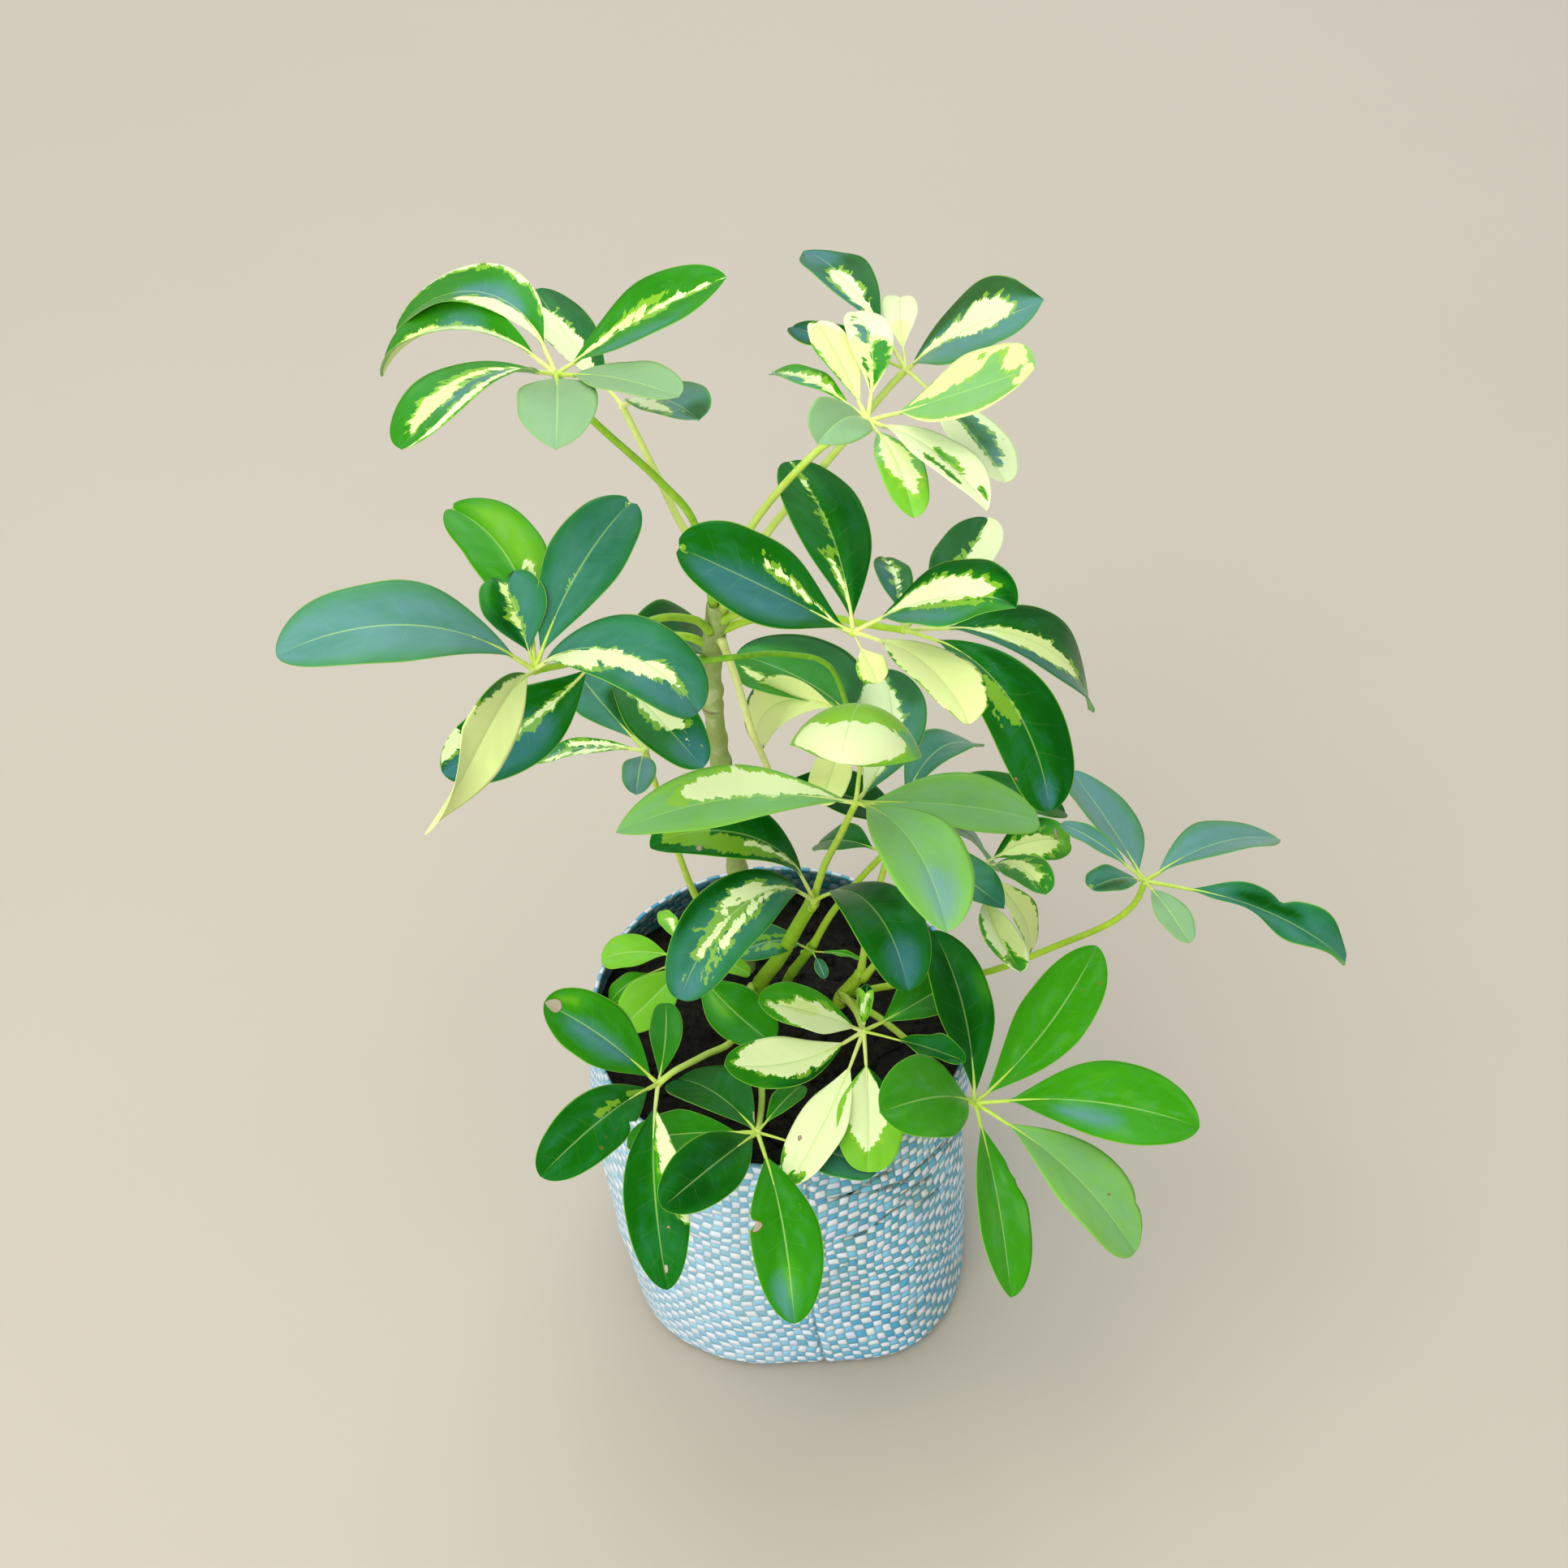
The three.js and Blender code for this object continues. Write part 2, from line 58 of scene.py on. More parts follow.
# ---- Materials -----------------------------------------------------------------------------------
class Value:
    """A value that a material works out, so that sums on it read as sums."""

    def __init__(self, shader: "Shader", socket: bpy.types.NodeSocket) -> None:
        """Wrap an output of one of the material's nodes."""
        self.shader = shader
        self.socket = socket

    def calc(self, operation: str, *others: "Feed") -> "Value":
        """Work out one operation of the Math node on this value and others."""
        return self.shader.calc(operation, self, *others)

    def __rsub__(self, other: "Feed") -> "Value":
        """Take this value from a number."""
        return self.shader.calc("SUBTRACT", other, self)

    __add__ = __radd__ = partialmethod(calc, "ADD")
    __mul__ = __rmul__ = partialmethod(calc, "MULTIPLY")
    __sub__ = partialmethod(calc, "SUBTRACT")
    __truediv__ = partialmethod(calc, "DIVIDE")
    __abs__ = partialmethod(calc, "ABSOLUTE")
    floor = partialmethod(calc, "FLOOR")
    part = partialmethod(calc, "FRACT")  # what lies beyond the whole number below
    at_least = partialmethod(calc, "MAXIMUM")
    at_most = partialmethod(calc, "MINIMUM")

    def hump(self) -> "Value":
        """Rise from 0 at 0 to 1 at a half and fall back to 0 at 1."""
        return (self * math.pi).calc("SINE")

    def step(self, start: "Feed", end: "Feed") -> "Value":
        """Rise smoothly from 0 to 1 as this value goes from start to end."""
        node = self.shader.add("ShaderNodeMapRange", interpolation_type="SMOOTHSTEP")
        return self.shader.wire(node, {0: self, 1: start, 2: end})

    def covered(self, share: "Feed", colour: "Feed") -> "Value":
        """Cover this share of a colour with another one."""
        return self.shader.mix(share, self, colour)


Feed = Value | float | tuple[float, ...]


class Shader:
    """The node tree of one material, with short calls for the nodes it is made of."""

    def __init__(self, name: str) -> None:
        """Start a material of this name with a plain surface."""
        self.material = bpy.data.materials.new(name)
        self.material.use_nodes = True
        self.tree = self.material.node_tree
        self.surface = self.tree.nodes["Principled BSDF"]

    def add(self, kind: str, **settings: object) -> bpy.types.Node:
        """Add a node of this kind with these settings."""
        node = self.tree.nodes.new(kind)
        for key, value in settings.items():
            setattr(node, key, value)
        return node

    def wire(self, node: bpy.types.Node, inputs: dict[int | str, Feed], output: int | str = 0) -> Value:
        """Feed a node's inputs and give one of its outputs.

        Args:
            node: The node.
            inputs: What goes into which input: a value of this material, a number, a vector or a colour.
            output: The output that is wanted.

        Returns:
            The output as a value.
        """
        for key, given in inputs.items():
            socket = node.inputs[key]
            if isinstance(given, Value):
                self.tree.links.new(given.socket, socket)
            elif socket.type == "RGBA":
                socket.default_value = (*given, 1.0)
            else:
                socket.default_value = given
        return Value(self, node.outputs[output])

    def calc(self, operation: str, *values: Feed) -> Value:
        """Work out one operation of the Math node on the values."""
        return self.wire(self.add("ShaderNodeMath", operation=operation), dict(enumerate(values)))

    def mix(self, share: Feed, first: Feed, second: Feed) -> Value:
        """Mix two colours, from the first at 0 to the second at 1."""
        return self.wire(self.add("ShaderNodeMix", data_type="RGBA"), {0: share, 6: first, 7: second}, 2)

    def place(self, x: Feed, y: Feed, z: Feed) -> Value:
        """Join three values into a vector."""
        return self.wire(self.add("ShaderNodeCombineXYZ"), {0: x, 1: y, 2: z})

    def mottle(self, where: Feed, scale: float, detail: float = 3.0, rough: float = 0.55) -> Value:
        """Give soft noise from 0 to 1 at a place."""
        inputs = {"Vector": where, "Scale": scale, "Detail": detail, "Roughness": rough}
        return self.wire(self.add("ShaderNodeTexNoise"), inputs)

    def specks(self, where: Feed, scale: float) -> Value:
        """Give how far a place is from the nearest of many scattered specks."""
        return self.wire(self.add("ShaderNodeTexVoronoi"), {"Vector": where, "Scale": scale}, "Distance")

    def chance(self, where: Value) -> Value:
        """Give one random value from 0 to 1 for a place."""
        return self.wire(self.add("ShaderNodeTexWhiteNoise", noise_dimensions="3D"), {"Vector": where})

    def stops(self, value: Feed, colours: list[tuple[float, Point]]) -> Value:
        """Run a value through a ramp of colours."""
        node = self.add("ShaderNodeValToRGB")
        ramp = node.color_ramp
        while len(ramp.elements) < len(colours):
            ramp.elements.new(0.5)
        for element, (at, colour) in zip(ramp.elements, colours):
            element.position = at
            element.color = (*colour, 1.0)
        return self.wire(node, {0: value})

    def channels(self, name: str) -> list[Value]:
        """Give the four channels of a colour attribute."""
        node = self.add("ShaderNodeAttribute", attribute_name=name)
        split = self.add("ShaderNodeSeparateColor")
        self.wire(split, {0: Value(self, node.outputs["Color"])})
        return [Value(self, output) for output in (*split.outputs, node.outputs["Alpha"])]

    def solid_place(self) -> Value:
        """Give the place on the object, in metres."""
        return self.wire(self.add("ShaderNodeTexCoord"), {}, "Object")

    def finish(
        self, height: Feed, depth: float, strength: float, inputs: dict[str, Feed]
    ) -> bpy.types.Material:
        """Give the surface its fine relief and its other inputs.

        Args:
            height: The relief, from 0 to about 1.
            depth: How deep a relief of 1 is, in metres.
            strength: How strongly it shows.
            inputs: What goes into which input of the surface.

        Returns:
            The material.
        """
        bump = self.add("ShaderNodeBump")
        normal = self.wire(bump, {"Strength": strength, "Distance": depth, "Height": height})
        self.wire(self.surface, {"Normal": normal, **inputs})
        return self.material


@dataclass(frozen=True)
class BladeFinish:
    """Waxy leaf blade with jagged cream patches, a pale midrib, a thin light margin and a painted blue-tinted
    sheen of the sky.
    """

    deep: Point = (0.000, 0.065, 0.001)
    dark: Point = (0.008, 0.165, 0.002)
    middle: Point = (0.050, 0.320, 0.004)
    light: Point = (0.250, 0.600, 0.035)
    # Blue-tinted colours of painted sky sheen, for dark and for light greens.
    painted_sheen_dark: Point = (0.015, 0.160, 0.170)
    painted_sheen_pale: Point = (0.180, 0.370, 0.400)
    # A greyish milky wash, partly a leaflet's own pale colour and partly painted sheen.
    milk: Point = (0.270, 0.420, 0.200)
    cream: Point = (0.870, 0.950, 0.500)
    yellow: Point = (0.800, 0.890, 0.330)
    halo: Point = (0.330, 0.600, 0.030)
    rib: Point = (0.480, 0.720, 0.220)
    hem: Point = (0.300, 0.600, 0.050)
    rust: Point = (0.250, 0.160, 0.020)
    dust: Point = (0.500, 0.600, 0.500)
    dead: Point = (0.170, 0.090, 0.040)
    dry: Point = (0.380, 0.290, 0.170)
    bleached: Point = (0.540, 0.470, 0.360)
    under: Point = (0.300, 0.520, 0.200)
    shine: Point = (0.250, 1.000, 0.250)
    cool_shine: Point = (0.800, 1.000, 1.000)
    roughness: float = 0.33
    nerves: float = 7.0  # side veins along one leaflet
    vein_slant: float = 0.55  # how far a side vein runs towards the tip for each mm that it runs outwards
    tooth_size: float = 11.0  # how far the noise moves a patch's edge, mm
    fine_size: float = 3.2
    halo_size: float = 15.0

    def make(self) -> bpy.types.Material:
        """Build the material, which reads each leaflet's own attributes."""
        s = Shader("leaf_blade")
        along, across, under, seed = s.channels("place")
        # The patch attribute holds the cream and pale depths, the share of painted sheen, read as blue, and
        # the wear.
        cream, pale, blue, wear = s.channels("patch")
        shade, ribbed, yellowish, milky = s.channels("tone")
        long, half, _, _ = s.channels("size")
        v = across * 2.0 - 1.0
        side, x = abs(v), v * half
        wide = abs(x)
        vein = along * long - wide * self.vein_slant
        where = s.solid_place()

        def wander(lengthwise: float, crosswise: float, shift: float, detail: float = 3.0) -> Value:
            """Give noise from -0.5 to 0.5 that is drawn out along the side veins."""
            at = s.place(vein / lengthwise, x / crosswise, seed * 97.0 + shift)
            return s.mottle(at, 1.0, detail, 0.6) - 0.5

        # Patches: their edges are jagged along the side veins, with a lighter green halo round the cream.
        tooth, fine = wander(5.5, 13.0, 0.0), wander(1.7, 7.0, 3.0, 2.0)
        cloud, soft = wander(8.0, 6.0, 11.0), wander(26.0, 12.0, 5.0, 2.0)
        jags = tooth * self.tooth_size + fine * self.fine_size - PATCH_ZERO
        cream, pale = cream + jags, pale + jags
        creamy = cream.step(-0.18, 0.18)
        haloed = (cream + cloud * self.halo_size).step(-1.6, -1.2).at_least(pale.step(-0.2, 0.2))

        # Greens: a ramp from deep to light, a painted blue-tinted sheen of the sky that is weaker at the
        # margins, a milky wash that is partly own pale colour and partly painted sheen, and the halo.
        tint = shade + soft * 0.30
        green = s.stops(tint, [(0.0, self.deep), (0.30, self.dark), (0.62, self.middle), (1.0, self.light)])
        # Painted sheen: a blue-tinted reflection of the sky painted into the colour, weaker near the margins.
        painted_sheen = (blue + (cloud + soft) * 0.5) * 0.80 * (1.0 - side.step(0.50, 1.0) * 0.60)
        painted_sheen = painted_sheen.at_least(0.0).at_most(1.0)
        green = green.covered(painted_sheen, s.mix(tint, self.painted_sheen_dark, self.painted_sheen_pale)).covered(milky, self.milk)
        ivory = s.mix((yellowish + soft * 0.8).step(0.20, 0.80), self.cream, self.yellow)
        colour = green.covered(haloed * 0.62, self.halo).covered(creamy, ivory)

        # Veins and margin: a midrib that thins towards the tip, faint side veins and a light hem.
        thin = 0.55 - along * 0.34
        rib = wide.step(thin + 0.28, thin * 0.5) * along.step(1.02, 0.80)
        wave = ((soft * 0.06 + vein / long) * self.nerves + seed).part()
        nerve = abs(wave - 0.5).step(0.040, 0.0) * side.step(0.92, 0.30)
        edge = ((1.0 - side) * half).step(0.62, 0.22) * (1.0 - creamy)
        colour = colour.covered(rib * ribbed, self.rib).covered(nerve * 0.04, self.rib)
        colour = colour.covered(edge * 0.70, self.hem)

        # Wear: rusty spots, dust, dried rims and the paler under side.
        spot = s.specks(where, 80.0).step(0.13, 0.06) * s.mottle(where, 21.0, 1.0).step(0.62, 0.68)
        dust = s.specks(where, 460.0).step(0.16, 0.06) * s.mottle(where, 55.0, 2.0).step(0.58, 0.70)
        gone = wear + tooth * 0.5 + fine * 0.30
        colour = colour.covered(spot * 0.5, self.rust).covered(dust * 0.28, self.dust)
        colour = colour.covered(gone.step(0.40, 0.46), self.dead)
        colour = colour.covered(gone.step(0.54, 0.62), s.mix(cloud + 0.5, self.dry, self.bleached))
        colour = colour.covered(under * (0.8 - creamy * 0.7), self.under)
        return s.finish(fine * 0.25 - nerve * 0.22 - rib * 0.8, 0.0003, 0.40, {
            "Base Color": colour,
            "Roughness": cloud * 0.14 + under * 0.25 + self.roughness,
            "Specular IOR Level": 0.36,
            "Specular Tint": s.mix(painted_sheen, self.shine, self.cool_shine),
            "Subsurface Weight": 0.10,
            "Subsurface Radius": (0.0016, 0.0026, 0.0006),
        })


@dataclass(frozen=True)
class StalkFinish:
    """Smooth green stalk with a brownish joint at each end."""

    green: Point = (0.100, 0.380, 0.010)
    lime: Point = (0.480, 0.700, 0.040)
    pale: Point = (0.860, 0.880, 0.340)
    joint: Point = (0.150, 0.120, 0.035)

    def make(self) -> bpy.types.Material:
        """Build the material, which reads how pale each stalk is."""
        s = Shader("leaf_stalk")
        joint, shade = s.channels("place")[2], s.channels("tone")[0]
        streak = s.mottle(s.solid_place(), 240.0)
        tint = shade + (streak - 0.5) * 0.45
        colour = s.stops(tint, [(0.0, self.green), (0.5, self.lime), (1.0, self.pale)])
        mark = joint.step(0.35, 0.9) * streak.step(0.40, 0.64)
        return s.finish(streak, 0.0003, 0.30, {
            "Base Color": colour.covered(mark * 0.7, self.joint),
            "Roughness": 0.38,
            "Specular IOR Level": 0.35,
            "Subsurface Weight": 0.06,
            "Subsurface Radius": (0.0012, 0.0020, 0.0006),
        })


@dataclass(frozen=True)
class BarkFinish:
    """Olive bark with green patches, brown leaf scars and fine cracks along the stem."""

    olive: Point = (0.430, 0.390, 0.190)
    green: Point = (0.330, 0.410, 0.120)
    fresh: Point = (0.420, 0.540, 0.160)
    scar: Point = (0.150, 0.110, 0.060)
    pale: Point = (0.720, 0.690, 0.480)

    def make(self) -> bpy.types.Material:
        """Build the material, which reads where the leaf scars lie."""
        s = Shader("stem_bark")
        scar, shade = s.channels("place")[2], s.channels("tone")[0]
        where = s.solid_place()
        patch = s.mottle(where, 62.0, 4.0)
        drawn_out = s.wire(s.add("ShaderNodeMapping"), {"Vector": where, "Scale": (1.0, 1.0, 0.16)})
        crack = s.mottle(drawn_out, 900.0, 4.0, 0.7)
        tint = shade + (patch - 0.5) * 1.3
        colour = s.stops(tint, [(0.0, self.olive), (0.5, self.green), (1.0, self.fresh)])
        colour = colour.covered(crack.step(0.56, 0.68) * 0.45, self.scar)
        colour = colour.covered(patch.step(0.56, 0.72) * 0.45, self.pale)
        colour = colour.covered(scar.step(0.35, 0.95) * patch.step(0.36, 0.62), self.scar)
        return s.finish(patch - crack * 0.8, 0.0006, 0.8, {"Base Color": colour, "Roughness": 0.62})


@dataclass(frozen=True)
class SoilFinish:
    """Moist dark potting soil with pale crumbs of fibre."""

    wet: Point = (0.004, 0.003, 0.002)
    damp: Point = (0.022, 0.017, 0.011)
    clod: Point = (0.040, 0.031, 0.020)
    fibre: Point = (0.120, 0.085, 0.045)

    def make(self) -> bpy.types.Material:
        """Build the material."""
        s = Shader("potting_soil")
        where = s.solid_place()
        crumb = s.mottle(where, 210.0, 5.0, 0.7)
        clod = s.mottle(where, 45.0)
        shard = s.specks(where, 330.0).step(0.20, 0.12) * clod.step(0.54, 0.62)
        colour = s.mix(crumb.step(0.35, 0.72), self.wet, self.damp)
        colour = colour.covered(clod.step(0.55, 0.75) * 0.35, self.clod).covered(shard * 0.6, self.fibre)
        return s.finish(crumb, 0.0016, 0.9, {
            "Base Color": colour, "Roughness": 0.88, "Specular IOR Level": 0.25,
        })


@dataclass(frozen=True)
class WeaveFinish:
    """Plain weave of flat plastic tape: pale tapes upright and blue tapes round the bag."""

    wide: float = 5.2  # width of one upright tape, mm
    high: float = 5.0  # width of one level tape, mm
    girth: float = 2 * math.pi * 99.0  # length of the cloth round the bag on its own map, mm
    blue: Point = (0.080, 0.430, 0.680)
    teal: Point = (0.120, 0.450, 0.560)
    sky: Point = (0.260, 0.680, 0.920)
    white: Point = (0.900, 0.950, 1.000)
    straw: Point = (0.800, 0.800, 0.640)
    lilac: Point = (0.740, 0.800, 0.960)
    # Painted shade in the gaps between the tapes.
    gap: Point = (0.060, 0.200, 0.230)
    # Painted light: the paler colour of the cloth on its lit left side.
    bleached: Point = (0.740, 0.880, 0.960)
    shadow: Point = (0.010, 0.070, 0.085)
    stain: Point = (0.190, 0.260, 0.110)
    # Colour of the darker lines along the folds and on the right side.
    darkening: Point = (0.045, 0.085, 0.050)
    seam: Point = (0.040, 0.170, 0.190)

    def make(self, name: str, dim: float) -> bpy.types.Material:
        """Build the material.

        Args:
            name: The material's name.
            dim: How far the cloth is darkened towards its shadow colour, from 0 to 1.

        Returns:
            The material, which reads the cloth's own map in millimetres.
        """
        s = Shader(name)
        uv = s.wire(s.add("ShaderNodeUVMap", uv_map="cloth"), {})
        cloth_darkness, bleached, inward, _ = s.channels("soiling_and_painted_light")
        apart = s.add("ShaderNodeSeparateXYZ")
        level, upright = s.wire(apart, {0: uv}), Value(s, apart.outputs[1])
        where = s.solid_place()

        # The tapes: each has its own shade, and slack cloth lets the rows wander.
        slip_x = (s.mottle(uv, 0.022, 2.0) - 0.5) * 16.0
        slip_y = (s.mottle(s.place(level + 400.0, upright, 7.0), 0.018, 2.0) - 0.5) * 22.0
        x, y = (level + slip_x) / self.wide, (upright + slip_y) / self.high
        column, row = x.floor(), y.floor()
        over = (column + row).calc("FLOORED_MODULO", 2.0)
        each = s.chance(s.place(column, row, 0.0))
        by_row, by_column = s.chance(s.place(row, 0.0, 3.0)), s.chance(s.place(column, 0.0, 7.0))
        blues = s.mix(by_row.step(0.45, 0.75), self.blue, self.teal).covered(each.step(0.40, 1.0), self.sky)
        whites = s.mix(by_column.step(0.50, 0.95) * 0.35, self.white, self.straw)
        whites = whites.covered(each.step(0.66, 0.90) * 0.8, self.lilac)
        pillow = x.part().hump() * y.part().hump()
        # Painted shade in the gaps between the tapes, deeper where the cloth is darker.
        painted_gap_shade = pillow.step(0.34, 0.04) * (cloth_darkness * 0.45 + 0.50)
        colour = s.mix(over, blues, whites).covered(painted_gap_shade, self.gap)

        # Colour on the cloth: painted light on its left side, stains with painted shade on its right, darker
        # lines along the folds and the right side, the seam down its side, and painted shade in the hem and
        # on the inner face.
        colour = colour.covered(bleached * 0.42, self.bleached)
        # Stains, with the painted shade of the right side mixed in through the cloth's darkness.
        stain_and_shade = (s.mottle(where, 17.0, 4.0, 0.6) + cloth_darkness * 0.30).step(0.56, 0.86) * 0.62
        line = cloth_darkness.step(0.42, 0.76) * s.mottle(where, 150.0).step(0.36, 0.56)
        seam = level.at_most(self.girth - level).step(1.5, 0.5)
        colour = colour.covered(stain_and_shade * (1.0 - pillow * 0.6), self.stain)
        colour = colour.covered(line * 0.72, self.darkening).covered(seam * 0.55, self.seam)
        colour = colour.covered(inward * 0.86, self.shadow).covered(dim, self.shadow)
        return s.finish(pillow + each * 0.25, 0.0010, 0.70, {
            "Base Color": colour, "Roughness": 0.45, "Specular IOR Level": 0.35,
        })


@dataclass(frozen=True)
class FloorFinish:
    """Plain pale floor."""

    pale: Point = (0.545, 0.475, 0.385)
    dull: Point = (0.500, 0.430, 0.340)

    def make(self) -> bpy.types.Material:
        """Build the material."""
        s = Shader("pale_floor")
        grain = s.mottle(s.solid_place(), 6.0)
        s.wire(s.surface, {
            "Base Color": s.mix(grain * 0.25, self.pale, self.dull),
            "Roughness": 0.9,
            "Specular IOR Level": 0.2,
        })
        return s.material


# ---- Shapes --------------------------------------------------------------------------------------
def make_object(name: str, mesh: bmesh.types.BMesh, materials: list[bpy.types.Material]) -> bpy.types.Object:
    """Turn a mesh into an object with these materials, and put it in the scene."""
    data = bpy.data.meshes.new(name)
    mesh.to_mesh(data)
    mesh.free()
    piece = bpy.data.objects.new(name, data)
    bpy.context.scene.collection.objects.link(piece)
    for material in materials:
        data.materials.append(material)
    return piece


def dress(piece: bpy.types.Object, slot: str, *nodes: str) -> None:
    """Hang a piece on the root body, hide the nodes that it stands for and log its faces."""
    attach(piece, "root")
    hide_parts(*nodes)
    LOG.info("%s: %d faces", piece.name, len(piece.data.polygons))


def bell(x: float) -> float:
    """Give a bell curve that is 1 at 0 and almost 0 from 2 on."""
    return math.exp(-(x**2))


def polar(turn: float, reach: float, x: float, z: float) -> Vector:
    """Give the point at a turn and a reach round an upright axis at x, at the height z."""
    return Vector((x + reach * math.cos(turn), reach * math.sin(turn), z))


def link_faces(verts: list[bmesh.types.BMVert]) -> list[bmesh.types.BMFace]:
    """Give the faces round some points, each once."""
    return list(dict.fromkeys(face for vert in verts for face in vert.link_faces))


def upright_edges(verts: list[bmesh.types.BMVert]) -> list[bmesh.types.BMEdge]:
    """Give the upright edges of a new cone that is 1 high."""
    edges = dict.fromkeys(edge for vert in verts for edge in vert.link_edges)
    return [edge for edge in edges if abs(edge.verts[0].co.z - edge.verts[1].co.z) > 0.5]


class Route:
    """A smooth curve through given points, with a steady frame along it."""

    SAMPLES = 12  # fine samples between two given points

    def __init__(self, points: list[Point] | tuple[Point, ...], steps: int) -> None:
        """Sample the curve.

        Args:
            points: The points that the curve passes through, in millimetres.
            steps: How many equal stretches the curve is cut into.
        """
        given = [Vector(point) for point in points]
        ends = [given[0] * 2 - given[1], *given, given[-1] * 2 - given[-2]]
        dense: list[Vector] = []
        for a, b, c, d in zip(ends, ends[1:], ends[2:], ends[3:]):
            for i in range(self.SAMPLES):
                t = i / self.SAMPLES
                bend, twist = 2 * a - 5 * b + 4 * c - d, 3 * b - a - 3 * c + d
                dense.append(0.5 * (2 * b + (c - a) * t + bend * t**2 + twist * t**3))
        dense.append(given[-1])
        lengths = [0.0]
        for one, two in zip(dense, dense[1:]):
            lengths.append(lengths[-1] + (two - one).length)
        self.steps = steps
        self.points: list[Vector] = []
        at = 0
        for i in range(steps + 1):
            goal = lengths[-1] * i / steps
            while at < len(dense) - 2 and lengths[at + 1] < goal:
                at += 1
            part = (goal - lengths[at]) / max(1e-9, lengths[at + 1] - lengths[at])
            self.points.append(dense[at].lerp(dense[at + 1], min(1.0, part)))
        self.frames: list[tuple[Vector, Vector]] = []
        across = Vector((1, 0, 0))
        for i in range(steps + 1):
            ahead = (self.points[min(i + 1, steps)] - self.points[max(i - 1, 0)]).normalized()
            across = (across - ahead * across.dot(ahead)).normalized()
            self.frames.append((across.copy(), ahead.cross(across)))

    def place(self, t: float, x: float, y: float) -> Vector:
        """Give the point at t along the curve, x and y across it."""
        i = min(self.steps, max(0, round(t * self.steps)))
        across, other = self.frames[i]
        return self.points[i] + across * x + other * y


class Growth:
    """The mesh of one plant piece, with the attributes that its materials read."""

    BLADE = 0
    STALK = 1
    KNOB_BUMPS = 0.16
    KNOB_GRAIN = 2.3  # how fine the bumps are

    def __init__(self) -> None:
        """Start an empty mesh."""
        self.mesh = bmesh.new()
        layers = self.mesh.verts.layers.float_color
        self.place, self.patch, self.tone, self.size = (
            layers.new(name) for name in ("place", "patch", "tone", "size")
        )

    def _plain(self, vert: bmesh.types.BMVert, t: float, joint: float, shade: float) -> None:
        """Give a point of a stalk or stem its attributes."""
        vert[self.place] = (t, 0.5, joint, 0.5)
        vert[self.patch] = (0.0, 0.0, 0.0, 0.0)
        vert[self.tone] = (shade, 0.0, 0.0, 0.0)
        vert[self.size] = (1.0, 1.0, 0.0, 0.0)

    @staticmethod
    def paint(faces: list[bmesh.types.BMFace], material: int) -> None:
        """Give faces a material and smooth shading."""
        for face in faces:
            face.material_index = material
            face.smooth = True

    def rod(self, route: Route, radius: Along, sides: int, shade: float, joint: Along) -> None:
        """Add a round rod along a route.

        Args:
            route: The curve that it follows.
            radius: Gives the radius in millimetres at t along the route and turn round it.
            sides: How many sides the rod has.
            shade: How pale it is, from 0 to 1.
            joint: Gives how brown it is at t along the route and turn round it.
        """
        for vert in self.mesh.verts:
            vert.tag = True
        made = bmesh.ops.create_cone(
            self.mesh, cap_ends=True, cap_tris=False, segments=sides, radius1=1.0, radius2=1.0, depth=1.0
        )
        edges = upright_edges(made["verts"])
        bmesh.ops.subdivide_edges(self.mesh, edges=edges, cuts=route.steps - 1, use_grid_fill=True)
        verts = [vert for vert in self.mesh.verts if not vert.tag]
        self.paint(link_faces(verts), self.STALK)
        for vert in verts:
            t = vert.co.z + 0.5
            turn = math.atan2(vert.co.y, vert.co.x)
            r = radius(t, turn)
            vert.co = route.place(t, vert.co.x * r, vert.co.y * r) * MM
            self._plain(vert, t, joint(t, turn), shade)

    def knob(self, centre: Vector, radius: float, shade: float, brown: float) -> None:
        """Add a small rounded knob at a centre in millimetres."""
        made = bmesh.ops.create_icosphere(self.mesh, subdivisions=2, radius=1.0)
        self.paint(link_faces(made["verts"]), self.STALK)
        for vert in made["verts"]:
            bumpy = 1.0 + self.KNOB_BUMPS * noise.noise(vert.co * self.KNOB_GRAIN + centre)
            vert.co = (centre + vert.co * radius * bumpy) * MM
            self._plain(vert, 0.5, brown, shade)


# ---- Leaves --------------------------------------------------------------------------------------
class Tone(Enum):
    """Green of a leaflet: how light it is, how much painted blue-tinted sheen of the sky it has, and how
    milky it is; the milky wash is partly its own pale colour and partly painted sheen.
    """

    DEEP = (0.04, 0.00, 0.0)
    DARK = (0.20, 0.04, 0.0)
    DUSKY = (0.34, 0.60, 0.0)
    STEEL = (0.46, 1.00, 0.1)
    MIDDLE = (0.44, 0.00, 0.0)
    FRESH = (0.60, 0.00, 0.0)
    SPRING = (0.98, 0.36, 0.12)
    MILKY = (0.80, 0.40, 0.8)
    LIME = (0.92, 0.00, 0.0)


class Tint(Enum):
    """What a patch on a blade does: it is cream, or it changes the green round it."""

    CREAM = "cream"
    YELLOW = "yellow"
    GREEN = "green"
    PALE = "pale"
    # A patch of painted blue-tinted sheen of the sky.
    BLUE = "blue"
    LIME = "lime"
    DEEP = "deep"
    DEAD = "dead"


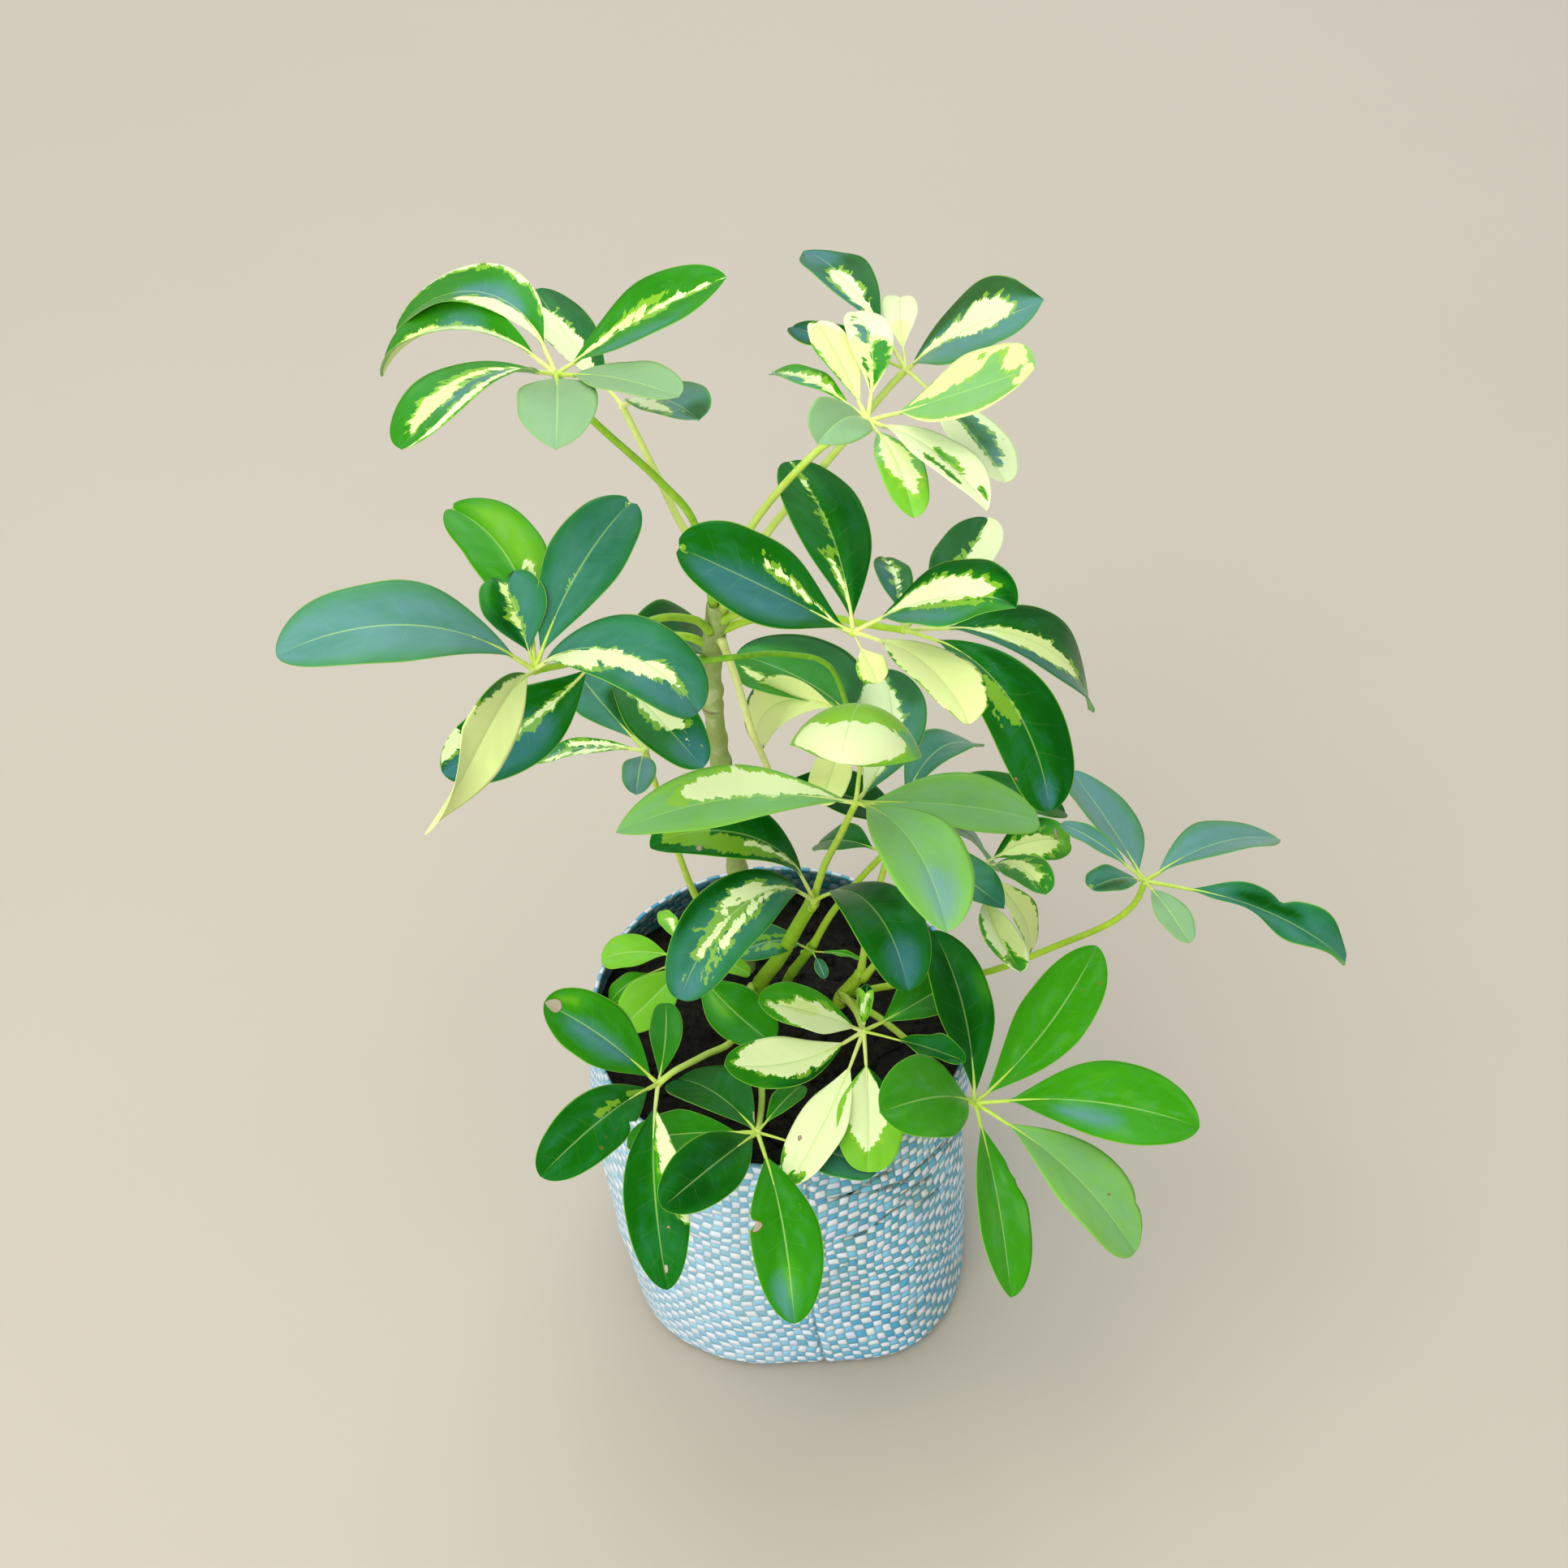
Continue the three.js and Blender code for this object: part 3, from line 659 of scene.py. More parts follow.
@dataclass(frozen=True)
class Blot:
    """A patch on a blade, as parts of its length and of its half width; left of the midrib is positive."""

    tint: Tint
    along: float
    across: float
    reach: float
    spread: float
    slant: float = 0.0

    def depth(self, u: float, v: float, long: float, half: float) -> float:
        """Give how deep inside the patch a place lies, in millimetres; outside it is below 0."""
        x = (u - self.along) * long
        y = (v - self.across - self.slant * (u - self.along)) * half
        rx, ry = self.reach * long, self.spread * half
        near = math.hypot(x / rx, y / ry)
        steep = math.hypot(x / rx**2, y / ry**2)
        return min(rx, ry) if steep < 1e-6 else near * (1.0 - near) / steep


# The patches made with blue are painted blue-tinted sheen of the sky.
cream, yellow, green, pale, blue, lime, deep, dead = (partial(Blot, tint) for tint in Tint)
EVERYWHERE = (0.5, 0.0, 2.0, 3.0)
ALL = (cream(*EVERYWHERE),)
ALL_YELLOW = (*ALL, yellow(*EVERYWHERE))
NICKED = (cream(1.0, 0.0, 0.018, 0.12),)


@dataclass(frozen=True)
class Bite:
    """A piece missing from a leaflet's edge, with a brown rim."""

    along: float
    side: float
    depth: float
    length: float
    brown: float = 1.0


@dataclass(frozen=True)
class Tail:
    """How a leaflet's end goes on differently: where that starts, and how it dips, sways and twists."""

    start: float
    dip: float = 0.0
    sway: float = 0.0
    twist: float = 0.0


@dataclass(frozen=True)
class Station:
    """A place on a midrib: how far along it is, and the directions across and up from the blade."""

    u: float
    point: Vector
    across: Vector
    up: Vector


@dataclass(frozen=True)
class Leaflet:
    """One leaflet: how it leaves the hub, its size, how it curves and how it is coloured."""

    turn: float
    rise: float
    stalk: float
    long: float
    wide: float
    droop: float
    sweep: float
    roll: float
    tone: Tone = Tone.MIDDLE
    blots: tuple[Blot, ...] = ()
    fold: float = 10.0
    arched: bool = False
    ripple: float = 0.6
    point: float = 0.5
    notch: float = 0.0
    tail: Tail = Tail(1.0)
    bites: tuple[Bite, ...] = ()

    WIDEST = 0.56  # where along it the blade is widest
    THICK = 0.55  # thickness of the blade beside its midrib, mm
    FINE_FROM = (50, 18)  # length and width from which a blade gets the finer grid, mm
    FINE_GRID = (48, 20)
    GRID = (30, 12)
    RIB_ENDS = (0.0, 0.055, 0.16)  # where along the blade the leaflet's stalk runs on under it
    STALK_SIZES = ((55, 1.15), (30, 0.8), (0, 0.5))  # radius of the stalk by the blade's length, mm
    RIB_WIDTH = 1.1  # half width of the midrib's groove and ridge, mm
    RIB_GROOVE = 0.30  # depth of the groove on the upper side, mm
    RIB_RIDGE = 0.9  # height of the ridge on the under side, mm
    PUCKERS = 7.0  # side veins that lift the blade along its length
    PUCKER_LIFT = 0.07
    UNEVEN = 0.05  # how much the width wavers
    LIMIT = PATCH_ZERO - 1.0  # greatest depth that is stored for a patch, mm
    CROWDED = 1.2  # how much the grid's lines crowd towards the midrib
    RIPPLES = 1.9  # ripples along one margin
    OUT_OF_STEP = 1.1  # how far the two margins' ripples are apart, in radians
    PUCKER_SLANT = 0.22  # how far a side vein runs towards the tip, as a part of the length
    NOTCH_FROM, NOTCH_LONG = 0.88, 0.12  # where the notch at the tip begins, and its length
    NOTCH_WIDTH = 1.8  # half width of the notch, mm
    LIGHTEST, DEEPEST = 0.95, 0.04  # the shades that light and deep patches tend to
    DARK_BELOW = 0.3  # shade up to which a blade is dark
    LIGHT_RIB, DARK_RIB = 0.50, 0.38  # how pale the midrib is on a light and on a dark blade
    LONG_STALK = 6  # length from which the stalk's route has a middle point, mm
    RIB_SHARE = 0.2  # how much of the blade's length the stalk counts as its own
    STALK_STEP, FEWEST_STEPS = 2.5, 6  # length of one stretch of the stalk, mm, and the fewest
    STALK_SIDES = 8
    PALE_STALK, GREEN_STALK = 0.85, 0.62

    def profile(self, u: float) -> float:
        """Give the half width at u as a part of the greatest half width."""
        if u < self.WIDEST:
            wave = math.sin(math.pi * max(0.0, u) ** (math.log(0.5) / math.log(self.WIDEST)))
            return max(0.035, wave**0.9)
        t = (min(1.0, u) - self.WIDEST) / (1.0 - self.WIDEST)
        return max(0.02, max(0.0, 1.0 - t**2.2) ** self.point)

    def over(self, u: float) -> float:
        """Give how far into its tail a leaflet is at u, from 0 to 1."""
        return max(0.0, (u - self.tail.start) / max(1e-9, 1.0 - self.tail.start))

    def bearing(self, u: float) -> float:
        """Give the level direction of the midrib at u, in radians."""
        return math.radians(self.turn + self.sweep * u + self.tail.sway * self.over(u))

    def heading(self, u: float) -> Vector:
        """Give the direction of the midrib at u."""
        turn = self.bearing(u)
        pitch = math.radians(self.rise - self.droop * u - self.tail.dip * self.over(u))
        return Vector((math.cos(pitch) * math.cos(turn), math.cos(pitch) * math.sin(turn), math.sin(pitch)))

    def spine(self, hub: Vector, rows: int) -> list[Station]:
        """Give the midrib's stations.

        Args:
            hub: The leaf's hub, in millimetres.
            rows: How many stretches the midrib is cut into; they are shorter towards the tip.

        Returns:
            A station for each row of the blade's grid.
        """
        point = hub + self.heading(0.0) * self.stalk
        stations = []
        before = 0.0
        for i in range(rows + 1):
            u = 1.0 - (1.0 - i / rows) ** 1.3
            point = point + self.heading((u + before) / 2) * (self.long * (u - before))
            before = u
            turn = self.bearing(u)
            level = Vector((-math.sin(turn), math.cos(turn), 0.0))
            upright = self.heading(u).cross(level)
            bank = math.radians(self.roll + self.tail.twist * self.over(u))
            across = level * math.cos(bank) + upright * math.sin(bank)
            up = upright * math.cos(bank) - level * math.sin(bank)
            stations.append(Station(u, point, across, up))
        return stations

    def grow(self, growth: Growth, hub: Vector, seed: float) -> None:
        """Add the leaflet's blade and its short stalk.

        Args:
            growth: The mesh that it is added to.
            hub: The leaf's hub, in millimetres.
            seed: A number from 0 to 1 that makes this leaflet's pattern its own.
        """
        sizes = zip((self.long, self.wide), self.FINE_FROM, self.FINE_GRID, self.GRID)
        rows, columns = (fine if size > least else plain for size, least, fine, plain in sizes)
        stations = self.spine(hub, rows)
        made = bmesh.ops.create_grid(growth.mesh, x_segments=rows, y_segments=columns, size=1.0)
        top = list(made["verts"])
        faces = link_faces(top)
        ups = {}
        for vert in top:
            station = stations[round((vert.co.x + 1.0) / 2.0 * rows)]
            self._lay(growth, vert, station, seed)
            ups[round(vert[growth.place][0], 5)] = station.up
        copy = bmesh.ops.extrude_face_region(growth.mesh, geom=faces, use_keep_orig=True)
        below = [item for item in copy["geom"] if isinstance(item, bmesh.types.BMVert)]
        for vert in below:
            self._sink(growth, vert, ups[round(vert[growth.place][0], 5)])
        shell = link_faces(top + below)
        bmesh.ops.recalc_face_normals(growth.mesh, faces=shell)
        growth.paint(shell, Growth.BLADE)
        self._stem(growth, hub, stations)

    def _section(self, u: float, v: float, half: float, torn: float) -> tuple[float, float]:
        """Give how far across and how far up from the midrib a place lies, in millimetres."""
        fold = math.radians(self.fold)
        if self.arched:
            bend = 2.0 * abs(fold)
            lift = math.copysign(half * (1.0 - math.cos(bend * v)) / bend, fold)
            return torn * half * math.sin(bend * v) / bend, lift
        fold *= 1.25 - 0.5 * u
        return torn * math.cos(fold) * half * v, math.sin(fold) * half * abs(v) ** 1.2

    def _torn(self, u: float, v: float, seed: float) -> tuple[float, float]:
        """Give what part of the width is left at a place, and how worn the blade is there."""
        left, wear = 1.0, 0.0
        for bite in self.bites:
            if v * bite.side > 0:
                lost = bell((u - bite.along) / bite.length)
                ragged = 0.8 + 0.5 * noise.noise(Vector((u * 45.0, seed * 9.0, 0.0)))
                left -= bite.depth * lost * ragged * min(1.0, abs(v) * 1.6)
                wear = max(wear, bite.brown * lost * min(1.0, max(0.0, (abs(v) - 0.78) / 0.2)))
        return left, wear

    def _lay(self, growth: Growth, vert: bmesh.types.BMVert, station: Station, seed: float) -> None:
        """Put a grid point on the blade's upper side and give it its attributes."""
        u = station.u
        v = math.copysign(abs(vert.co.y) ** self.CROWDED, vert.co.y)
        size = abs(v)
        width = self.profile(u)
        half = self.wide / 2 * width
        half *= 1.0 + self.UNEVEN * noise.noise(Vector((u * 4.0, math.copysign(3.0, v), seed * 50.0)))
        left, wear = self._torn(u, v, seed)
        out, lift = self._section(u, v, half, left)
        apart = self.OUT_OF_STEP if v > 0 else 0.0
        wave = math.sin(2 * math.pi * (self.RIPPLES * u + seed * 3.0) + apart)
        pucker = math.cos(2 * math.pi * (self.PUCKERS * (u - self.PUCKER_SLANT * size) + seed))
        lift += self.ripple * size**2 * width * wave
        lift += self.PUCKER_LIFT * pucker * size * (1 - size) * 4 * width
        lift -= self.RIB_GROOVE * bell(size * half / self.RIB_WIDTH)
        near_tip = max(0.0, (u - self.NOTCH_FROM) / self.NOTCH_LONG)
        back = self.notch * bell(out / self.NOTCH_WIDTH) * near_tip**2
        vert.co = (station.point + station.across * out + station.up * lift - self.heading(u) * back) * MM
        self._colour(growth, vert, u, v, seed, wear)

    def _colour(
        self, growth: Growth, vert: bmesh.types.BMVert, u: float, v: float, seed: float, wear: float
    ) -> None:
        """Give a point the depths of the patches that lie there, the blade's own tone and its share of
        painted sheen.
        """
        half = self.wide / 2
        depths = {tint: -PATCH_ZERO for tint in Tint}
        for blot in self.blots:
            depths[blot.tint] = max(depths[blot.tint], blot.depth(u, v, self.long, half))
        creamy = min(depths[Tint.CREAM], -depths[Tint.GREEN])
        shade, painted_sheen_share, milky = self.tone.value

        def soft(tint: Tint, width: float = 4.0) -> float:
            """Give from 0 to 1 how much of a soft-edged patch there is."""
            t = min(1.0, max(0.0, depths[tint] / width + 0.5))
            return t * t * (3 - 2 * t)

        lit, dim = 0.75 * soft(Tint.LIME, 15.0), soft(Tint.DEEP, 11.0)
        shade += (self.LIGHTEST - shade) * lit - (shade - self.DEEPEST) * dim
        # Painted sheen of the sky: its share grows in the sheen patches and gives way where lime or deep
        # patches lie.
        painted_sheen_share += (1.0 - painted_sheen_share) * soft(Tint.BLUE, 13.0)
        painted_sheen_share *= 1.0 - max(lit, dim)
        ribbed = self.LIGHT_RIB if shade > self.DARK_BELOW else self.DARK_RIB
        creamy, paler = (
            min(self.LIMIT, max(-self.LIMIT, depth)) + PATCH_ZERO for depth in (creamy, depths[Tint.PALE])
        )
        vert[growth.place] = (u, (v + 1) / 2, 0.0, seed)
        vert[growth.patch] = (creamy, paler, painted_sheen_share, max(wear, soft(Tint.DEAD, 2.0)))
        vert[growth.tone] = (shade, ribbed, soft(Tint.YELLOW), milky)
        vert[growth.size] = (self.long, half, 0.0, 0.0)

    def _sink(self, growth: Growth, vert: bmesh.types.BMVert, up: Vector) -> None:
        """Move a point of the under side down by the blade's thickness."""
        u, across, _, seed = vert[growth.place]
        size = abs(across * 2 - 1)
        half = self.wide / 2 * self.profile(u)
        rib = self.RIB_RIDGE * (1.0 - 0.8 * u) * bell(size * half / self.RIB_WIDTH)
        vert.co = vert.co - up * ((self.THICK * (1.0 - 0.6 * size) + rib) * MM)
        vert[growth.place] = (u, across, 1.0, seed)

    def _stem(self, growth: Growth, hub: Vector, stations: list[Station]) -> None:
        """Add the leaflet's own stalk, which runs on under the blade as its rib."""
        points = [tuple(hub)]
        if self.stalk > self.LONG_STALK:
            points.append(tuple(hub + self.heading(0.0) * self.stalk * 0.5))
        for part in self.RIB_ENDS:
            station = stations[round(part * (len(stations) - 1))]
            points.append(tuple(station.point - station.up * self.THICK))
        thick = next(radius for least, radius in self.STALK_SIZES if self.long > least)
        creamy = any(blot.tint is Tint.CREAM and blot.along - blot.reach < 0.1 for blot in self.blots)
        length = self.stalk + self.long * self.RIB_SHARE
        growth.rod(
            Route(points, max(self.FEWEST_STEPS, round(length / self.STALK_STEP))),
            lambda t, turn: thick * (1.0 + 0.25 * bell(t / 0.06)) * (1.0 - 0.62 * t**1.6),
            self.STALK_SIDES,
            self.PALE_STALK if creamy else self.GREEN_STALK,
            lambda t, turn: 0.8 if t < 0.04 else 0.0,
        )


@dataclass(frozen=True)
class Leaf:
    """A whole leaf: a long stalk that ends in a hub, with its leaflets spread round it."""

    node: str
    route: tuple[Point, ...]
    leaflets: tuple[Leaflet, ...]
    shade: float = 0.45
    slot: str = "leaf_green"
    thick: float = 2.0

    TAPER = 0.78  # radius at the hub as a part of the radius at the foot
    FOOT_JOINT, HUB_JOINT = 0.03, 0.985  # the stalk is brown up to the one and from the other
    SEED_STEP = 0.137  # how far apart the seeds of two neighbouring leaflets are
    FOOT_SWELLING, HUB_SWELLING = 0.30, 0.12  # how much thicker the stalk's ends are
    STRETCHES = 8  # stretches between two given points of the route
    SIDES = 12
    SLENDER = 1.5  # radius up to which a stalk has the smaller knob, mm
    KNOB, SMALL_KNOB = 2.1, 1.5  # radius of the knob at the hub, mm

    def radius(self, t: float, turn: float) -> float:
        """Give the stalk's radius at t along it and turn round it; both its ends are swollen."""
        swollen = 1.0 + self.FOOT_SWELLING * bell(t / 0.05) + self.HUB_SWELLING * bell((1 - t) / 0.04)
        uneven = 1.0 + 0.03 * noise.noise(Vector((t * 14.0, turn, 0.0)))
        return self.thick * (1.0 - (1.0 - self.TAPER) * t) * swollen * uneven

    def brown(self, t: float, turn: float) -> float:
        """Give how brown the stalk is at t along it."""
        return 1.0 if t < self.FOOT_JOINT else (0.7 if t > self.HUB_JOINT else 0.0)

    def build(self, materials: list[bpy.types.Material]) -> bpy.types.Object:
        """Grow the leaf as one object that stands for its node."""
        growth = Growth()
        route = Route(self.route, self.STRETCHES * (len(self.route) - 1))
        growth.rod(route, self.radius, self.SIDES, self.shade, self.brown)
        hub = Vector(self.route[-1])
        knob = self.KNOB if self.thick > self.SLENDER else self.SMALL_KNOB
        growth.knob(hub, knob, self.shade + 0.1, 0.35)
        own = (sum((i + 3) * ord(letter) for i, letter in enumerate(self.node)) % 997) / 997
        for number, leaflet in enumerate(self.leaflets):
            leaflet.grow(growth, hub, (own + self.SEED_STEP * number) % 1.0)
        piece = make_object(f"{self.node}_grown", growth.mesh, materials)
        dress(piece, self.slot, self.node)
        return piece


T = Tone
LEAVES = (
    Leaf("leaf_top_left", ((-42, 14, 484), (-50, 21, 528), (-66, 25, 552), (-95, 28, 586), (-109, 30, 609)), (
        Leaflet(113, 20, 15, 101, 42, 75, 75, 10, T.MIDDLE, (
            cream(0.20, 0.55, 0.32, 0.42), cream(0.5, -1.03, 0.62, 0.11), cream(0.40, -1.0, 0.08, 0.16),
            blue(0.40, 0.0, 0.20, 0.35),
        ), point=0.75),
        Leaflet(144, 23, 12, 95, 30, 92, 37, 6, T.MIDDLE, (
            cream(0.30, 0.45, 0.28, 0.42), cream(0.74, 0.25, 0.26, 0.45), yellow(0.8, 0.3, 0.3, 0.9),
            blue(0.42, 0.1, 0.12, 0.5), lime(0.75, 0.7, 0.25, 0.6),
        ), point=0.9, fold=22),
        Leaflet(-135, 41, 12, 96, 38, 56, 18, 18, T.MIDDLE, (
            cream(0.42, -0.22, 0.30, 0.13, -0.2), cream(0.72, -0.12, 0.18, 0.26),
            cream(0.52, 0.72, 0.46, 0.15, 0.2), yellow(0.7, -0.3, 0.4, 0.4), blue(0.45, 0.30, 0.28, 0.30),
            pale(0.55, -0.35, 0.3, 0.12),
        )),
        Leaflet(-84, 35, 14, 76, 35, 33, -5, -2, T.MILKY, point=0.6),
        Leaflet(-49, 35, 14, 77, 27, 21, 5, -2, T.MILKY),
        Leaflet(2, 43, 10, 81, 39, 19, 2, 1, T.MIDDLE, (
            cream(0.52, 0.02, 0.44, 0.06), cream(0.36, 0.16, 0.20, 0.13, 0.3), cream(0.10, -0.05, 0.18, 0.25),
            pale(0.45, 0.25, 0.22, 0.16, 0.3), yellow(0.45, 0.3, 0.3, 0.3), blue(0.45, -0.8, 0.25, 0.2),
        ), point=0.7),
    ), 0.25),
    Leaf("leaf_top_left_back", (
        (-38, 20, 478), (-48, 29, 500), (-58, 38, 515), (-68, 52, 530), (-83, 65, 560),
    ), (
        Leaflet(124, 10, 11, 82, 29, 20, -13, 10, T.DARK, (
            cream(0.36, 0.35, 0.42, 0.66), deep(0.6, -0.7, 0.5, 0.4),
        )),
        Leaflet(-61, 48, 15, 78, 32, 33, 0, 0, T.STEEL, (
            cream(0.42, -0.55, 0.42, 0.30), deep(0.93, 0.3, 0.12, 0.6),
        )),
    ), 0.80),
    Leaf("leaf_top_right", ((-38, 13, 482), (-26, 8, 536), (3, 0, 590), (26, 0, 609)), (
        Leaflet(128, 2, 12, 60, 14, 42, 0, 0, T.FRESH, (
            cream(0.32, 0.0, 0.28, 0.40), cream(0.66, 0.05, 0.2, 0.2), blue(0.7, 0.6, 0.4, 0.5),
        )),
        Leaflet(-118, 51, 5, 50, 27, 51, 0, -18, T.MILKY, (cream(0.03, 0.5, 0.08, 0.6),), point=0.65),
        Leaflet(109, 12, 10, 61, 19, 29, -3, 7, T.FRESH, (
            *ALL, green(0.98, 0.6, 0.05, 0.5), green(0.35, 1.0, 0.35, 0.10), yellow(0.35, 0.0, 0.6, 1.2),
        )),
        Leaflet(83, 15, 13, 63, 21, 37, 25, 5, T.MIDDLE, (
            *ALL, green(0.30, -0.45, 0.24, 0.50), green(0.20, 0.5, 0.13, 0.18), green(0.62, 0.25, 0.13, 0.24),
            green(0.84, 0.5, 0.05, 0.14), blue(0.65, 0.3, 0.15, 0.4), yellow(0.3, 0.0, 0.3, 1.2),
        )),
        Leaflet(-34, 40, 20, 80, 40, 0, 7, 15, T.SPRING, (
            cream(0.34, 0.62, 0.26, 0.36), cream(0.56, 1.0, 0.3, 0.18), cream(0.84, 0.55, 0.10, 0.42),
            cream(0.96, -0.2, 0.06, 0.6), cream(0.5, -1.0, 0.55, 0.08), yellow(0.5, 0.0, 0.9, 1.5),
        )),
        Leaflet(-57, 30, 12, 84, 28, 37, -3, -18, T.MIDDLE, (
            *ALL, green(0.60, 0.12, 0.13, 0.20), green(0.68, -0.55, 0.16, 0.22),
            green(0.90, 0.45, 0.07, 0.25), lime(0.62, 0.2, 0.1, 0.2),
        ), point=0.9, tail=Tail(0.9, 30, -10)),
        Leaflet(-73, 23, 14, 63, 21, 34, -8, -10, T.LIME, (
            cream(0.34, 0.05, 0.36, 0.62), cream(0.66, 0.25, 0.16, 0.32), blue(0.25, -0.8, 0.25, 0.35),
            blue(0.35, 0.9, 0.3, 0.3),
        )),
    ), 0.62, "leaf_pale"),
    Leaf("leaf_top_right_back", (
        (-38, 17, 478), (-18, 21, 522), (17, 36, 565), (34, 46, 584), (44, 50, 595),
    ), (
        Leaflet(116, 12, 24, 80, 30, 42, -2, 9, T.DARK, (
            cream(0.34, 0.12, 0.26, 0.42), blue(0.85, 0.2, 0.2, 1.0), blue(0.4, 0.9, 0.5, 0.3),
            deep(0.4, -0.6, 0.3, 0.4),
        ), point=1.0, tail=Tail(0.8, -10, 14)),
        Leaflet(94, 4, 13, 54, 17, 35, -9, 0, T.FRESH, (*ALL, yellow(0.15, 0.0, 0.25, 0.8)), notch=2.5),
        Leaflet(-37, 57, 5, 89, 41, 25, 7, 25, T.STEEL, (
            cream(0.38, 0.10, 0.34, 0.22), cream(0.60, 0.12, 0.20, 0.40), deep(0.5, 0.85, 0.7, 0.42),
        ), point=0.85, tail=Tail(0.8, -12, 18)),
        Leaflet(140, -8, 18, 54, 20, 13, -11, 0, T.DEEP, (blue(0.8, 0.3, 0.2, 0.5),)),
        Leaflet(-62, 11, 23, 70, 28, 14, -6, -14, T.STEEL, (
            *ALL, green(0.50, 0.25, 0.30, 0.42), green(0.78, 0.15, 0.10, 0.25), deep(0.5, 0.2, 0.2, 0.3),
        )),
    ), 0.70),
    Leaf("leaf_mid_left", (
        (-44, 13, 468), (-52, 3, 486), (-70, -14, 502), (-98, -36, 501), (-120, -50, 507),
    ), (
        Leaflet(-170, 51, 13, 113, 43, 74, 7, -12, T.STEEL, ripple=0.9, point=0.6),
        Leaflet(95, 31, 13, 84, 37, 35, 51, 2, T.FRESH, (
            *NICKED, cream(0.29, -0.36, 0.16, 0.13, -0.4), lime(0.55, -0.45, 0.35, 0.4),
        ), notch=1.8),
        Leaflet(112, 40, 9, 37, 32, 25, 0, -7, T.DUSKY, (
            cream(0.60, 0.10, 0.42, 0.07), cream(0.88, 0.12, 0.15, 0.12), yellow(0.6, 0.1, 0.6, 0.3),
            lime(0.8, 0.75, 0.20, 0.22), deep(0.5, 0.5, 0.5, 0.4),
        ), fold=24, notch=5.0, point=0.38),
        Leaflet(64, 41, 8, 84, 35, 37, -10, 11, T.DUSKY, (*NICKED, pale(0.40, 0.05, 0.06, 0.04)), notch=1.6),
        Leaflet(-14, 54, 7, 88, 42, 108, -18, 2, T.DUSKY, (
            cream(0.20, -0.55, 0.24, 0.42), cream(0.50, -0.22, 0.24, 0.24, 0.25),
            cream(0.70, -0.02, 0.12, 0.16, 0.5), blue(0.80, -0.45, 0.20, 0.4), pale(0.80, 0.05, 0.08, 0.12),
        )),
        Leaflet(-101, 38, 12, 116, 28, 66, -11, -55, T.DARK, (
            *ALL_YELLOW, green(0.22, -0.95, 0.30, 0.36), lime(0.9, 0.0, 0.2, 1.0),
        ), fold=14, point=0.95, tail=Tail(0.62, 0, -16, -75)),
    ), 0.30),
    Leaf("leaf_mid_left_back", ((-44, 19, 452), (-58, 16, 462), (-78, 10, 462), (-97, 5, 458)), (
        Leaflet(-125, -8, 7, 87, 37, -6, -26, -25, T.DARK, (
            cream(0.26, -0.02, 0.26, 0.07), pale(0.30, 0.0, 0.30, 0.13), cream(0.90, -0.75, 0.08, 0.30),
            blue(0.75, 0.3, 0.4, 0.7),
        )),
        Leaflet(-57, 13, 13, 78, 30, 20, 3, 7, T.DARK, (
            cream(0.34, 0.12, 0.34, 0.34), cream(0.70, 0.30, 0.10, 0.12), blue(0.9, 0.2, 0.16, 0.7),
        )),
        Leaflet(46, -9, 16, 72, 36, 55, -9, 16, T.DARK, (deep(0.7, 0.5, 0.4, 0.5),)),
    ), 0.35),
    Leaf("leaf_long_stalk", (
        (-32, 50, 184), (-44, 52, 200), (-56, 50, 232), (-65, 45, 277), (-74, 35, 338), (-78, 30, 368),
    ), (
        Leaflet(122, -7, 11, 71, 28, 17, -12, -13, T.DUSKY, (deep(0.3, -0.5, 0.3, 0.5),)),
        Leaflet(166, -3, 5, 59, 13, 42, 0, 0, T.MIDDLE, (
            cream(0.32, -0.45, 0.30, 0.24), cream(0.50, 0.55, 0.46, 0.28), blue(0.5, 0.0, 0.5, 0.3),
        )),
        Leaflet(-94, 34, 11, 32, 17, 46, 0, 0, T.STEEL),
    ), 0.62),
    Leaf("leaf_crown_front", (
        (-39, 14, 474), (-26, -2, 496), (-6, -28, 522), (12, -50, 536), (20, -60, 541),
    ), (
        Leaflet(178, 36, 5, 85, 47, 6, 0, -11, T.DARK, (
            *NICKED, cream(0.24, -0.33, 0.21, 0.06, -0.55), pale(0.45, -0.50, 0.05, 0.06),
            blue(0.55, 0.35, 0.35, 0.5),
        ), notch=1.6),
        Leaflet(96, 21, 6, 91, 37, 22, 23, 12, T.DARK, (
            *NICKED, cream(0.17, 0.20, 0.17, 0.10, 0.7), pale(0.50, 0.04, 0.32, 0.035),
            cream(0.80, 0.05, 0.06, 0.03), deep(0.5, -0.7, 0.5, 0.4),
        )),
        Leaflet(-28, 50, 20, 79, 39, 31, -8, 11, T.MIDDLE, (
            cream(0.40, 0.20, 0.42, 0.36), pale(0.55, -0.25, 0.28, 0.13), deep(0.5, 0.9, 0.6, 0.3),
            blue(0.35, -0.75, 0.4, 0.35), deep(0.95, 0.3, 0.10, 0.5),
        ), point=0.8, ripple=1.2, tail=Tail(0.8, 16, -12)),
        Leaflet(-54, 31, 21, 84, 36, 28, -19, -20, T.DARK, (
            *ALL_YELLOW, green(0.6, -1.04, 0.5, 0.09), green(0.6, 1.04, 0.5, 0.07),
        ), point=0.62, tail=Tail(0.94, 50)),
        Leaflet(-62, -22, 8, 17, 15, 10, 0, 0, T.FRESH, (*ALL_YELLOW, green(0.6, -1.02, 0.5, 0.1))),
    ), 0.40),
    Leaf("leaf_crown_right", ((-39, 16, 466), (-20, 14, 476), (10, 10, 480), (30, 7, 478), (45, 5, 477)), (
        Leaflet(94, -2, 11, 54, 18, 25, 5, 10, T.DARK, (
